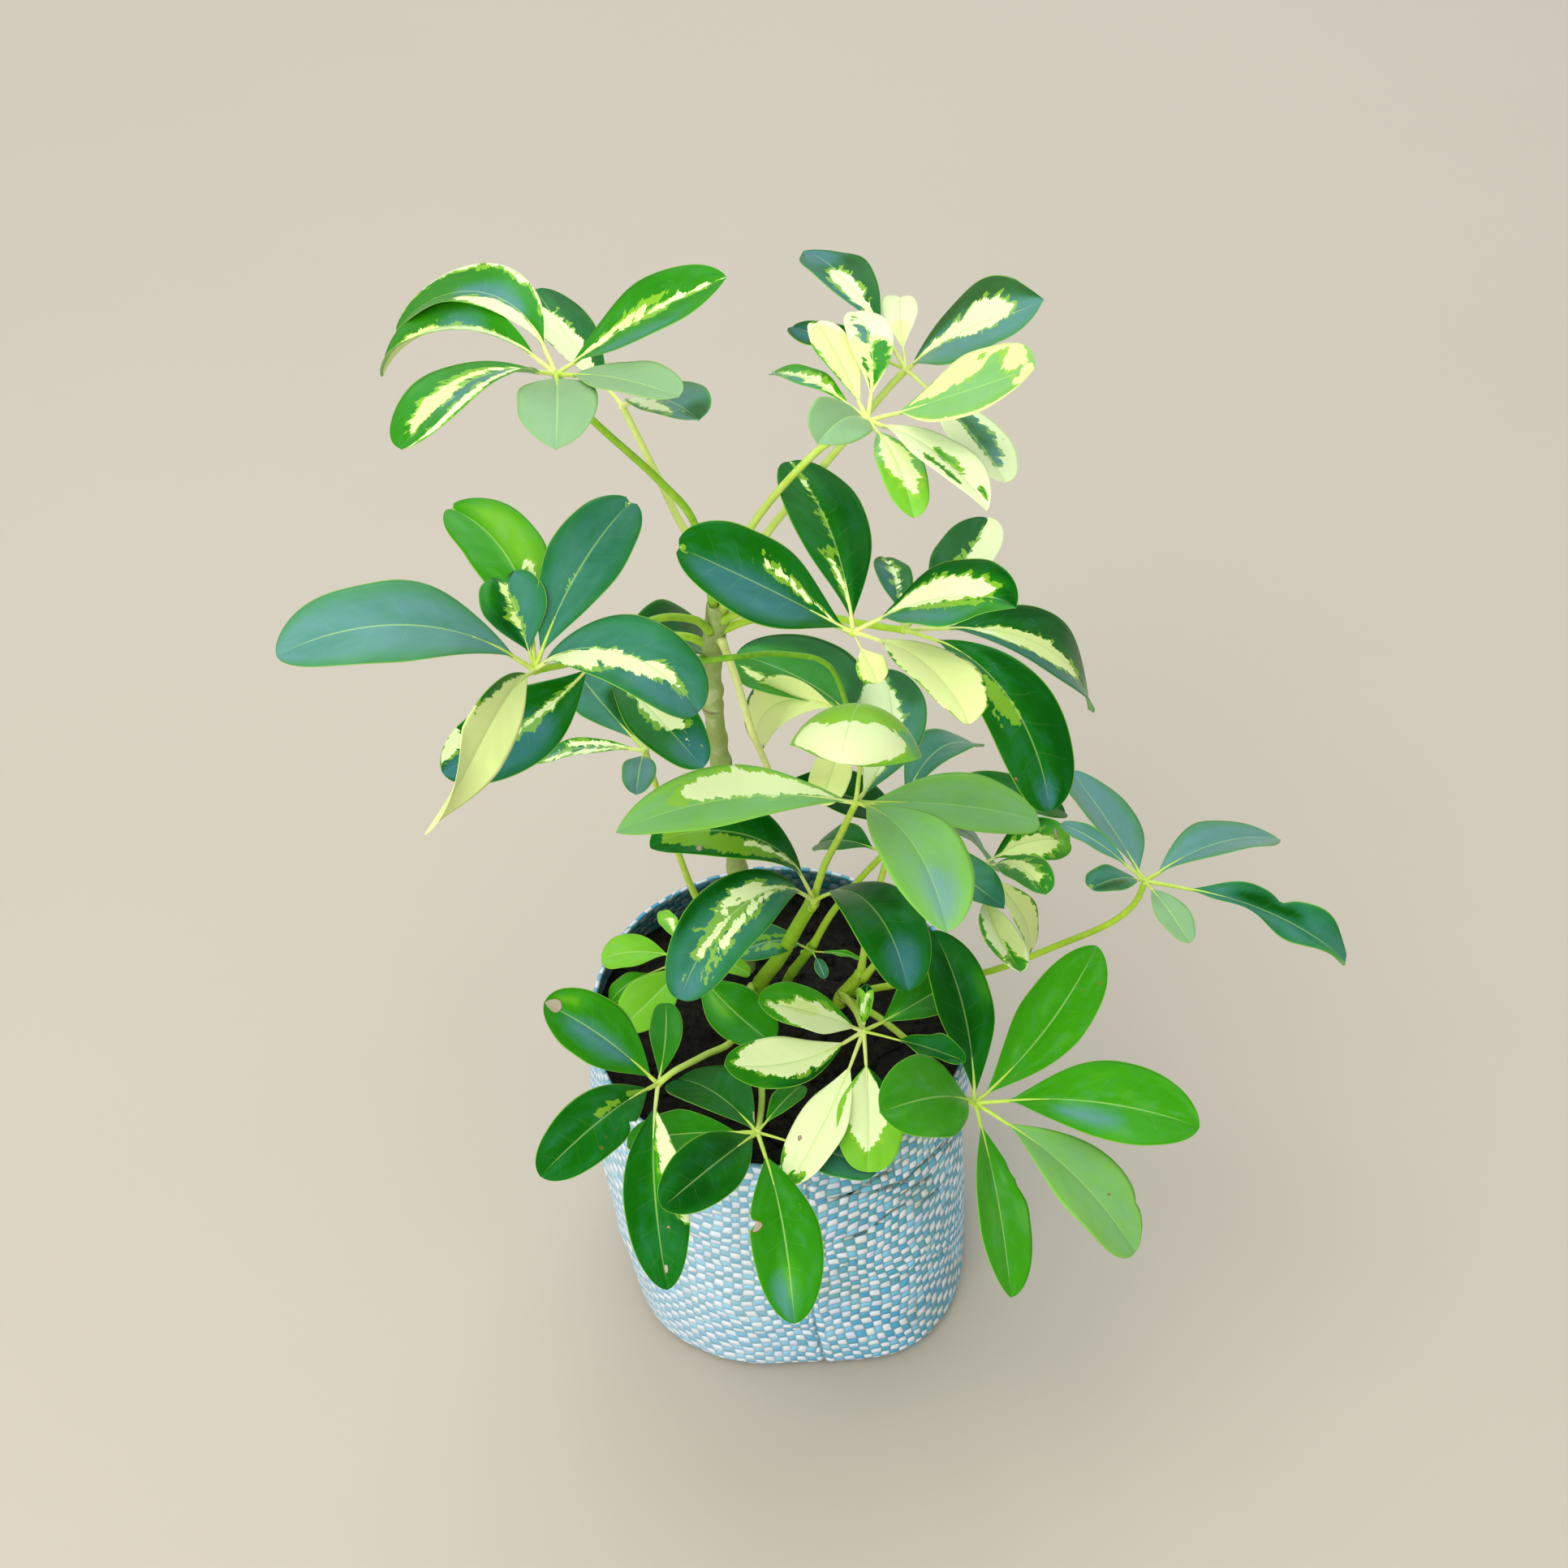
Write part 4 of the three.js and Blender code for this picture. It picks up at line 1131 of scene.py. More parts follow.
            cream(0.50, -0.15, 0.34, 0.11, 0.4), blue(0.5, 0.5, 0.3, 0.4),
        )),
        Leaflet(55, -4, 17, 76, 31, 0, 20, -5, T.DEEP, (cream(0.62, -0.62, 0.42, 0.62),), fold=18, point=0.6),
        Leaflet(3, 1, 21, 101, 46, 84, 4, 0, T.DARK, (
            cream(0.40, -0.12, 0.34, 0.34), yellow(0.5, 0.0, 0.3, 0.5), blue(0.40, -0.85, 0.45, 0.30),
            lime(0.97, 0.0, 0.10, 1.0), deep(0.6, 0.8, 0.4, 0.4),
        ), point=0.8),
        Leaflet(-43, 20, 21, 105, 36, 91, -24, 4, T.DARK, (
            pale(0.42, -0.28, 0.17, 0.26, 0.8), cream(0.36, -0.76, 0.08, 0.06),
            dead(0.40, -0.66, 0.012, 0.05), blue(0.93, 0.0, 0.07, 0.4), deep(0.6, 0.7, 0.4, 0.4),
            dead(0.80, -0.93, 0.02, 0.06),
        )),
    ), 0.45),
    Leaf("leaf_crown_under", (
        (-46, 20, 446), (-49, 10, 451), (-34, 1, 463), (-12, 16, 450), (11, 20, 438), (22, 11, 412),
    ), (
        Leaflet(108, -22, 2, 85, 58, -20, 50, 10, T.MIDDLE, (
            cream(0.50, 0.55, 0.40, 0.12), pale(0.18, 0.40, 0.10, 0.20), yellow(0.5, 0.5, 0.5, 0.5),
            deep(0.6, -0.85, 0.5, 0.35), deep(0.15, -0.6, 0.15, 0.3),
        )),
        Leaflet(146, 2, 10, 75, 29, 106, 19, -43, T.DARK, (
            *ALL_YELLOW, green(0.75, -1.05, 0.4, 0.12), green(0.9, 0.95, 0.15, 0.12),
        )),
        Leaflet(-122, -52, 8, 38, 20, 6, 0, -20, T.FRESH, ALL_YELLOW),
    ), 0.12, thick=1.6),
    Leaf("leaf_front_upper", ((4.5, 1.5, 287), (10, -5, 322), (17, -17, 358), (24, -30, 397)), (
        Leaflet(-105, 110, 34, 78, 80, 150, 0, 6, T.LIME, (
            cream(0.97, 0.0, 0.25, 0.75), cream(0.82, -0.62, 0.15, 0.34), cream(0.82, 0.45, 0.15, 0.40),
            blue(0.62, 0.85, 0.12, 0.25), pale(0.50, -0.3, 0.30, 1.0),
        ), fold=-34, arched=True, ripple=0.3, point=0.42),
        Leaflet(61, -4, 6, 95, 35, 4, 44, 2, T.DUSKY, (
            cream(0.46, 0.42, 0.52, 0.72), deep(0.9, -0.6, 0.2, 0.5),
        )),
        Leaflet(-176, 20, 4, 113, 37, 45, 8, 0, T.SPRING, (
            cream(0.38, -0.42, 0.32, 0.42), lime(0.55, -0.95, 0.3, 0.3), pale(0.70, -0.35, 0.06, 0.3),
        ), point=0.85),
        Leaflet(8, -6, 7, 87, 38, 23, 0, 0, T.SPRING),
        Leaflet(-55, 34, 9, 96, 44, 57, -24, -12, T.SPRING, (blue(0.80, 0.1, 0.16, 0.4),), point=0.65),
    ), 0.55),
    Leaf("leaf_front_lower", ((4, -2, 286), (5, -5, 291), (5, -6, 296)), (
        Leaflet(177, 73, 20, 92, 34, 108, 9, -8, T.DARK, (
            cream(0.30, 0.30, 0.22, 0.14), pale(0.48, 0.45, 0.32, 0.34), pale(0.80, 0.0, 0.14, 0.5),
            dead(0.72, 0.72, 0.02, 0.14), deep(0.4, -0.6, 0.4, 0.4),
        ), point=0.7, tail=Tail(0.9, 0, 20)),
        Leaflet(-138, 58, 17, 106, 36, 122, 12, -22, T.DUSKY, (
            cream(0.30, -0.10, 0.24, 0.12, -0.5), cream(0.40, -0.34, 0.12, 0.16),
            cream(0.44, 0.24, 0.28, 0.10, 0.6), cream(0.66, 0.0, 0.12, 0.07, -0.2),
            pale(0.48, -0.05, 0.30, 0.30), deep(0.35, -0.85, 0.4, 0.30), blue(0.94, 0.1, 0.08, 0.5),
        )),
        Leaflet(-48, 56, 21, 91, 40, 97, -28, -13, T.DARK, (
            blue(0.86, 0.1, 0.14, 0.5), deep(0.3, 0.5, 0.25, 0.4),
        )),
    ), 0.50),
    Leaf("leaf_second_stem", ((30, 12, 216), (34, 18, 250), (42, 26, 290), (48, 30, 320)), (
        Leaflet(27, -33, 11, 83, 28, 41, 0, 0, T.DUSKY),
        Leaflet(71, 12, 10, 85, 30, 66, -29, -11, T.DUSKY, point=0.7),
        Leaflet(25, 2, 8, 93, 33, 46, -13, -6, T.DARK),
    ), 0.55),
    Leaf("leaf_behind_stem", (
        (-39.5, 14.5, 463), (-32, 8, 440), (-26, 7, 410), (-19, 6, 386), (-15, 5, 372),
    ), (
        Leaflet(6, -14, 4, 62, 30, 26, 0, 4, T.DEEP),
    ), 0.95),
    Leaf("leaf_pale_right", ((31, 8, 216), (44, 6, 243), (66, 2, 280), (86, 0, 314)), (
        Leaflet(37, 5, 10, 51, 25, 45, -15, 23, T.MIDDLE, (
            cream(0.42, -0.2, 0.40, 0.50), yellow(0.5, 0.0, 0.9, 1.5), lime(0.95, 0.0, 0.25, 1.0),
            dead(0.80, 0.3, 0.02, 0.3), deep(0.3, 0.9, 0.4, 0.3),
        )),
        Leaflet(-52, 51, 20, 50, 22, 49, -15, -3, T.MIDDLE, (
            cream(0.45, 0.1, 0.40, 0.36), yellow(0.5, 0.0, 0.9, 1.5),
        )),
        Leaflet(-19, -36, 9, 58, 22, 59, 0, 3, T.MIDDLE, (
            *ALL_YELLOW, green(0.7, 1.02, 0.5, 0.14), green(0.6, -1.05, 0.5, 0.10),
            green(0.97, 0.0, 0.04, 0.5),
        )),
        Leaflet(-83, 11, 23, 56, 22, 4, 16, -20, T.FRESH, (
            *ALL, green(0.96, 0.1, 0.15, 0.9), green(0.62, -0.9, 0.35, 0.20), green(0.72, 0.15, 0.12, 0.10),
            yellow(0.4, 0.4, 0.5, 0.6),
        )),
    ), 0.50, "leaf_pale"),
    Leaf("leaf_far_right", (
        (21, 22, 184), (44, 16, 200), (93, 5, 225), (130, 3, 250), (154, 2, 268), (166, 1, 285),
        (170, 0, 304),
    ), (
        Leaflet(104, -13, 9, 89, 38, -6, 10, 28, T.STEEL),
        Leaflet(-136, 48, 11, 44, 20, 33, 0, 0, T.DUSKY, (*NICKED, deep(0.7, 0.4, 0.3, 0.4)), notch=1.5),
        Leaflet(-71, 22, 8, 42, 17, 31, 6, 0, T.MILKY),
        Leaflet(41, 0, 9, 87, 38, 35, -15, -18, T.STEEL, (lime(1.0, 0.0, 0.05, 0.6),), point=0.85),
        Leaflet(-18, 7, 22, 89, 26, 48, 0, 0, T.DUSKY, (
            lime(0.92, -0.7, 0.14, 0.5), deep(0.45, 0.4, 0.2, 0.4),
        ), ripple=4.2, fold=22, point=0.36, bites=(Bite(0.52, 1, 0.35, 0.05, 0.0),)),
        Leaflet(143, 24, 12, 41, 12, 36, 0, 0, T.STEEL),
    ), 0.45),
    Leaf("leaf_inner_right", ((5, 29, 217), (14, 27, 245), (27, 23, 276), (41, 20, 303)), (
        Leaflet(-44, 36, 11, 74, 29, 45, -2, -5, T.DUSKY, point=0.8),
        Leaflet(142, -12, 8, 42, 24, 40, 0, 0, T.DARK),
    ), 0.45),
    Leaf("leaf_low_right", ((21, 20, 186), (40, -10, 206), (60, -45, 222), (76, -72, 226), (85, -85, 234)), (
        Leaflet(91, 28, 4, 93, 32, 26, 22, 13, T.DARK, (
            deep(0.45, 0.3, 0.4, 0.5), lime(0.6, -0.85, 0.08, 0.15),
        ), point=0.6),
        Leaflet(39, 16, 7, 95, 36, -11, 21, 10, T.FRESH, point=0.62),
        Leaflet(-10, 21, 18, 96, 46, 39, -2, 6, T.FRESH, (blue(0.42, -0.45, 0.16, 0.20),), point=0.62),
        Leaflet(-37, -1, 20, 92, 42, 51, -3, -7, T.SPRING, (
            dead(0.66, 0.30, 0.018, 0.05),
        ), bites=(Bite(0.80, 1, 0.10, 0.03, 0.0), Bite(0.97, 1, 0.2, 0.03, 0.0)), ripple=1.0),
        Leaflet(
            -80, 3, 14, 94, 34, 22, -6, -34, T.FRESH,
            bites=(Bite(0.30, 1, 0.28, 0.06, 0.0), Bite(0.40, 1, 0.20, 0.05, 0.0)), point=0.62
        ),
        Leaflet(-129, 56, 11, 84, 43, 34, -11, -32, T.FRESH),
    ), 0.55),
    Leaf("leaf_pale_centre", ((21, 19, 190), (24, -4, 212), (27, -28, 234), (30, -50, 247)), (
        Leaflet(-165, 46, 6, 61, 28, 21, -4, -7, T.FRESH, (
            cream(0.32, 0.35, 0.52, 0.85), cream(0.70, 0.15, 0.22, 0.34), yellow(0.6, -0.1, 0.2, 0.3),
        )),
        Leaflet(-139, 9, 13, 72, 28, -21, -26, -17, T.MIDDLE, (
            cream(0.30, -0.35, 0.58, 0.95), cream(0.72, -0.2, 0.20, 0.34), deep(0.35, 0.9, 0.3, 0.3),
        )),
        Leaflet(-109, -3, 22, 71, 28, 12, -13, 12, T.FRESH, (
            *ALL, green(0.97, 0.1, 0.07, 0.7), green(0.9, -1.0, 0.15, 0.14), dead(0.66, -0.55, 0.02, 0.08),
        )),
        Leaflet(-87, -3, 20, 57, 34, 25, -6, -10, T.LIME, (
            cream(0.30, -0.12, 0.44, 0.70), cream(0.58, -0.1, 0.20, 0.50), dead(0.22, 0.1, 0.12, 0.025),
            deep(0.2, 0.9, 0.25, 0.5),
        ), point=0.42),
        Leaflet(35, -3, 11, 62, 31, 19, 19, 4, T.MIDDLE, (lime(0.05, 0.0, 0.12, 0.4),)),
        Leaflet(-36, 24, 23, 41, 16, 12, 0, 9, T.DARK, fold=30, ripple=2.0),
    ), 0.62, "leaf_pale"),
    Leaf("leaf_low_left", (
        (-27, 24, 190), (-35, -26, 211), (-50, -56, 235), (-64, -77, 250), (-72, -85, 250),
    ), (
        Leaflet(155, 43, 5, 67, 35, 13, 16, -17, T.MIDDLE, (
            dead(0.93, -0.10, 0.065, 0.34), lime(0.84, -0.5, 0.10, 0.25), blue(0.5, 0.2, 0.3, 0.3),
        )),
        Leaflet(-122, 35, 10, 86, 32, 44, -9, -28, T.DARK, (
            pale(0.40, -0.20, 0.13, 0.16), pale(0.10, -0.3, 0.12, 0.18), dead(0.45, 0.5, 0.012, 0.05),
        ), bites=(Bite(0.36, 1, 0.34, 0.03, 0.3),)),
        Leaflet(-93, 11, 16, 98, 32, 48, 16, -3, T.DARK, (
            cream(0.24, 0.62, 0.20, 0.45), cream(0.60, 1.0, 0.09, 0.20), lime(0.30, 0.15, 0.2, 0.10),
            dead(0.90, 0.1, 0.022, 0.10), dead(0.70, 0.3, 0.012, 0.06),
        ), point=0.6),
        Leaflet(81, 6, 4, 49, 17, 18, 14, 6, T.MIDDLE),
    ), 0.66),
    Leaf("leaf_low_front", (
        (-21, 23, 184), (-22, -30, 203), (-21, -70, 219), (-22, -94, 231), (-23, -105, 237),
    ), (
        Leaflet(122, -4, 2, 72, 36, 37, 12, 7, T.DARK, (dead(0.10, -0.95, 0.05, 0.2),)),
        Leaflet(-119, 33, 5, 80, 33, 26, -11, -24, T.DARK, (
            deep(0.45, -0.3, 0.35, 0.5), deep(0.8, 0.3, 0.2, 0.5),
        )),
        Leaflet(-76, 11, 17, 89, 35, 52, -9, 0, T.MIDDLE, (
            lime(0.78, -0.05, 0.10, 0.15), dead(0.46, -0.84, 0.030, 0.13), blue(0.86, -0.3, 0.12, 0.3),
        ), bites=(Bite(0.44, -1, 0.30, 0.022),), point=0.6),
        Leaflet(57, 2, 7, 37, 14, 34, 4, 0, T.MIDDLE),
        Leaflet(-14, -5, 14, 48, 30, 10, 0, 0, T.DUSKY),
        Leaflet(174, -6, 10, 58, 27, 20, 0, 0, T.MIDDLE),
    ), 0.62),
    Leaf("leaf_rim_left", ((-31, 49, 186), (-42, 34, 200), (-52, 25, 212), (-60, 20, 218)), (
        Leaflet(175, 14, 11, 37, 21, 50, 3, -9, T.LIME),
        Leaflet(117, 10, 13, 22, 10, 23, -10, 0, T.LIME, (cream(0.4, -0.3, 0.3, 0.3),)),
        Leaflet(-168, -17, 22, 31, 14, 53, 0, 0, T.FRESH),
        Leaflet(-121, 3, 7, 48, 26, 17, -18, -17, T.LIME),
        Leaflet(-58, 0, 13, 57, 31, 4, 19, 6, T.MIDDLE, (lime(0.35, -0.3, 0.2, 0.3),)),
        Leaflet(-5, 0, 10, 25, 12, 42, 0, 6, T.LIME),
    ), 0.50, thick=1.6),
    Leaf("leaf_sprout", ((0, 33, 207), (3, 28, 212), (5, 25, 218)), (
        Leaflet(-152, 54, 12, 44, 19, 66, 3, -20, T.DUSKY, (
            pale(0.5, 0.3, 0.4, 0.12), pale(0.45, -0.3, 0.3, 0.10),
        )),
        Leaflet(-70, 11, 5, 14, 7, 36, 0, 0, T.DUSKY),
        Leaflet(-7, 9, 5, 22, 4, 36, 0, 0, T.FRESH),
    ), 0.30, thick=1.3),
)


@dataclass(frozen=True)
class Shoot:
    """The young leaves that still stand folded together, with a dried black wedge between them."""

    hub: Point = (30, -50, 247)
    lifted: Point = (0, 1.6, 2.4)  # where the shoot stands, seen from its leaf's hub

    def build(self, materials: list[bpy.types.Material]) -> bpy.types.Object:
        """Grow the shoot as one object."""
        growth = Growth()
        hub = Vector(self.hub) + Vector(self.lifted)
        streaks = (pale(0.5, 0.0, 0.5, 0.5), cream(0.6, 0.5, 0.4, 0.3))
        for number, leaflet in enumerate((
            Leaflet(104, 60, 1, 21, 8, -16, 10, 0, T.LIME, streaks, fold=48, ripple=0.3),
            Leaflet(80, 66, 1, 16, 9, 0, 0, 0, T.FRESH, streaks, fold=48, ripple=0.3),
            Leaflet(62, 62, 1, 21, 9, -16, -10, 0, T.LIME, streaks, fold=48, ripple=0.3),
        )):
            leaflet.grow(growth, hub, 0.21 * (number + 1))
        wedge = Leaflet(82, 58, 11, 11, 8, 0, 0, 0, T.DEEP, (deep(*EVERYWHERE),), fold=20)
        wedge.grow(growth, hub, 0.5)
        piece = make_object("new_shoot_grown", growth.mesh, materials)
        dress(piece, "young_shoot", "new_shoot")
        return piece


# ---- Stems ---------------------------------------------------------------------------------------
@dataclass(frozen=True)
class Stem:
    """A stem with swollen joints where leaves have grown or have fallen."""

    node: str
    route: tuple[Point, ...]
    foot: float
    top: float
    joints: tuple[float, ...]
    swelling: float
    shade: float
    slot: str = "green_stem"
    barked: bool = False

    JOINT_TURN = 2.4  # how far round the stem the next leaf grows, in radians
    JOINT_LENGTH = 0.014  # half length of a joint's swelling, as a part of the stem
    SCAR_LENGTH = 0.005
    SIDES = 20
    BARK_STEPS, STEPS = 200, 70  # stretches along a stem with bark and a green one
    BARK_ROUGH, ROUGH = 0.035, 0.015  # how uneven each is, as a part of its radius
    SCAR_SAG = 0.006  # how far a scar's ends hang below its middle

    def lean(self, number: int, turn: float) -> float:
        """Give from 0 to 1 how near a turn is to the side on which a joint's leaf grew."""
        return 0.5 + 0.5 * math.cos(turn - self.JOINT_TURN * number)

    def radius(self, t: float, turn: float) -> float:
        """Give the stem's radius at t along it and turn round it."""
        size = self.foot + (self.top - self.foot) * t
        for number, at in enumerate(self.joints):
            swollen = self.swelling * (0.35 + 0.65 * self.lean(number, turn))
            size += swollen * bell((t - at) / self.JOINT_LENGTH)
        rough = self.BARK_ROUGH if self.barked else self.ROUGH
        where = Vector((t * 60.0, math.cos(turn) * 1.5, math.sin(turn) * 1.5))
        return size * (1.0 + rough * noise.noise(where))

    def scar(self, t: float, turn: float) -> float:
        """Give how much of a scar there is at t; each is a crescent on one side of the stem."""
        most = 0.0
        for number, at in enumerate(self.joints):
            lean = self.lean(number, turn)
            off = t - at - 0.004 + self.SCAR_SAG * (1.0 - lean)
            most = max(most, lean**1.5 * bell(off / self.SCAR_LENGTH))
        return most

    def build(self, materials: list[bpy.types.Material]) -> bpy.types.Object:
        """Grow the stem as one object."""
        growth = Growth()
        route = Route(self.route, self.BARK_STEPS if self.barked else self.STEPS)
        growth.rod(route, self.radius, self.SIDES, self.shade, self.scar)
        piece = make_object(f"{self.node}_grown", growth.mesh, materials)
        dress(piece, self.slot, self.node)
        return piece


STEMS = (
    Stem(
        "main_stem",
        ((-30, 50, 161), (-31, 48, 205), (-35, 44, 274), (-43, 30, 382), (-44, 21, 438), (-40, 15, 484)),
        5.0, 4.5,
        (0.10, 0.23, 0.31, 0.44, 0.49, 0.60, 0.66, 0.75, 0.79, 0.86, 0.90, 0.925, 0.95, 0.97, 0.99),
        1.3, 0.60, "bark", True,
    ),
    Stem(
        "front_stem", ((-27, 31, 161), (-23, 25, 190), (-12, 18, 222), (-2, 8, 262), (5, 1, 289)),
        4.2, 3.4, (0.24, 0.55, 0.97), 0.7, 0.30,
    ),
    Stem(
        "right_stem", ((19, 24, 161), (20, 23, 180), (25, 16, 200), (31, 10, 219)),
        4.0, 3.2, (0.35, 0.95), 0.7, 0.45,
    ),
    Stem(
        "inner_stem", ((-11, 40, 161), (-7, 37, 182), (0, 33, 202), (6, 29, 220)),
        2.8, 2.4, (0.45, 0.92), 0.6, 0.25,
    ),
)


# ---- Bag and soil --------------------------------------------------------------------------------
@dataclass(frozen=True)
class Crease:
    """A fold pressed into the bag's wall: its middle, its length, its slope and its depth."""

    turn: float
    height: float
    long: float
    slope: float
    depth: float
    darkening: float = 0.0
    width: float = 3.0

    def off(self, run: float, z: float) -> float:
        """Give how far above the wavering fold a place lies, in millimetres."""
        wavering = 2.5 * math.sin(run / 9.0) + 1.2 * math.sin(run / 3.7)
        return z - self.height - self.slope * run - wavering


def sharp(*crease: float) -> Crease:
    """Give a sharper fold, which is darker along its line."""
    return Crease(*crease, width=2.6)


@dataclass(frozen=True)
class Bag:
    """The bag of woven tape: a side wall with a hem folded inwards, and a squarish bottom panel."""

    height: float = 200.0
    base_radius: float = 92.0
    corner: float = 10.0
    rim_radius: float = 100.0
    rim_zone: float = 50.0  # how far down the rim's slackness reaches
    rim_drop: float = 1.4
    bulge: float = 3.0
    lean: float = -12.0
    lean_height: float = 130.0
    foot: float = 8.0
    cloth: float = 0.9
    panel: float = 1.6
    panel_inset: float = 1.2
    panel_ring: float = 14.0
    hem: float = 13.0
    hem_gap: float = 2.6
    seam: float = math.radians(-82.0)
    seam_groove: float = 1.3
    seam_ridge: float = 0.8
    # The side that is darker, partly from stains and partly from painted shade.
    stained_and_shaded_side: float = math.radians(-15.0)
    # The side where painted light makes the cloth paler.
    painted_light_side: float = math.radians(-150.0)
    around: int = 300
    rows: int = 92
    bend_rows: int = 4  # rows round the fold at the rim
    hem_rows: int = 6
    base_sides: int = 96
    base_rings: int = 4
    dents: float = 1.6  # depth of the wall's soft dents
    small_dents: float = 0.8
    creases: tuple[Crease, ...] = (
        sharp(-66, 172, 46, 0.10, 1.4, 0.7),
        sharp(-48, 160, 60, -0.20, 2.0, 1.0),
        sharp(-36, 146, 50, -0.10, 1.8, 1.0),
        sharp(-60, 133, 44, 0.12, 1.4, 0.9),
        sharp(-30, 122, 46, -0.24, 1.8, 1.0),
        sharp(-70, 104, 40, 0.05, 1.0, 0.3),
        sharp(-22, 96, 44, -0.12, 1.6, 0.8),
        sharp(-46, 78, 54, 0.14, 1.2, 0.4),
        sharp(-28, 62, 40, -0.15, 1.4, 0.6),
        Crease(-110, 150, 50, 0.16, 1.0),
        Crease(-128, 120, 60, 0.22, 1.4),
        Crease(-118, 88, 44, 0.10, 1.0),
        Crease(-140, 62, 50, 0.18, 1.4),
        Crease(-96, 40, 60, 0.04, 1.0),
        Crease(-150, 170, 50, 0.25, 1.6),
        sharp(10, 150, 60, -0.12, 1.8, 0.8),
        sharp(30, 100, 70, 0.10, 1.6, 0.6),
        sharp(70, 160, 60, 0.10, 1.6, 0.5),
        sharp(96, 120, 70, -0.12, 2.0, 0.4),
        sharp(130, 90, 60, 0.15, 1.6, 0.3),
        sharp(160, 140, 60, 0.12, 1.8, 0.3),
        Crease(-170, 90, 50, -0.12, 1.4),
        Crease(60, 60, 50, 0.08, 1.2),
    )

    def centre(self, z: float) -> float:
        """Give where the bag's axis stands along X at a height."""
        return self.lean * math.sin(math.pi / 2 * min(1.0, z / self.lean_height))

    def near_rim(self, z: float) -> float:
        """Give from 0 to 1 how near a height is to the rim."""
        return max(0.0, (z - self.height + self.rim_zone) / self.rim_zone)

    def plain(self, turn: float, z: float) -> float:
        """Give the bag's outer radius without its folds."""
        up = z / self.height
        size = self.base_radius + (self.rim_radius - self.base_radius) * up
        size += self.bulge * math.sin(math.pi * up)
        size += self.corner * max(0.0, 1.0 - up) ** 1.5 * (1.0 - math.cos(4 * turn)) / 2
        below = max(0.0, self.foot - z)
        return size - self.foot + math.sqrt(self.foot**2 - below**2)

    def folded(self, turn: float, z: float, size: float) -> tuple[float, float]:
        """Give how far the creases move the wall at a place, and how dark their lines are there."""
        moved, darkening = 0.0, 0.0
        for crease in self.creases:
            gone = (math.degrees(turn) - crease.turn + 180.0) % 360.0 - 180.0
            run = math.radians(gone) * size
            if abs(run) < crease.long:
                off = crease.off(run, z)
                fade = math.cos(math.pi / 2 * run / crease.long) ** 2
                dent = bell(off / crease.width)
                moved += crease.depth * fade * (0.8 * bell((off - 4.5) / 4.0) - dent)
                darkening = max(darkening, crease.darkening * fade * dent)
        return moved, darkening

    def radius(self, turn: float, z: float) -> float:
        """Give the bag's outer radius at a turn and a height, with its folds.

        Args:
            turn: The angle round the bag's axis, in radians from +X.
            z: The height, in millimetres.

        Returns:
            The radius in millimetres.
        """
        size = self.plain(turn, z)
        swirl = polar(turn, 2.0, 0.0, z / 60.0)
        size += self.dents * noise.noise(swirl) + self.small_dents * noise.noise(swirl * 2.6)
        size += self.folded(turn, z, size)[0]
        apart = (turn - self.seam + math.pi) % (2 * math.pi) - math.pi
        size -= self.seam_groove * bell(apart * size / 1.6)
        size += self.seam_ridge * bell((apart * size - 4.0) / 2.6)
        return size

    def soiling_and_painted_light(self, turn: float, z: float) -> tuple[float, float]:
        """Give how dark the cloth is at a place, from its folds and from stains and painted shade on its
        right side, and how much painted light pales its left side.
        """
        right, left = (max(0.0, math.cos(turn - side)) for side in (self.stained_and_shaded_side, self.painted_light_side))
        rim = self.near_rim(z)
        # Darker along the folds and on the right side, where stains and painted shade lie, most near the rim.
        darkening = self.folded(turn, z, self.plain(turn, z))[1] + 0.42 * right * (0.5 + rim)
        return min(1.0, darkening), left**1.5 * (1.0 - 0.4 * rim)

    def wall_path(self) -> list[tuple[float, float, float]]:
        """Give the wall's path as height, inset and length of cloth so far, from foot to hem edge."""
        heights = [self.height * i / self.rows for i in range(self.rows + 1)]
        path = [(z, 0.0, z) for z in heights]
        bend = self.hem_gap / 2
        for i in range(1, self.bend_rows + 1):
            angle = math.pi * i / self.bend_rows
            rise, inset = bend * math.sin(angle), bend * (1 - math.cos(angle))
            path.append((self.height - bend + rise, inset, self.height + bend * angle))
        run = self.height + bend * math.pi
        for i in range(1, self.hem_rows + 1):
            down = self.hem * i / self.hem_rows
            path.append((self.height - bend - down, self.hem_gap + 0.25 * math.sin(i * 1.3), run + down))
        return path

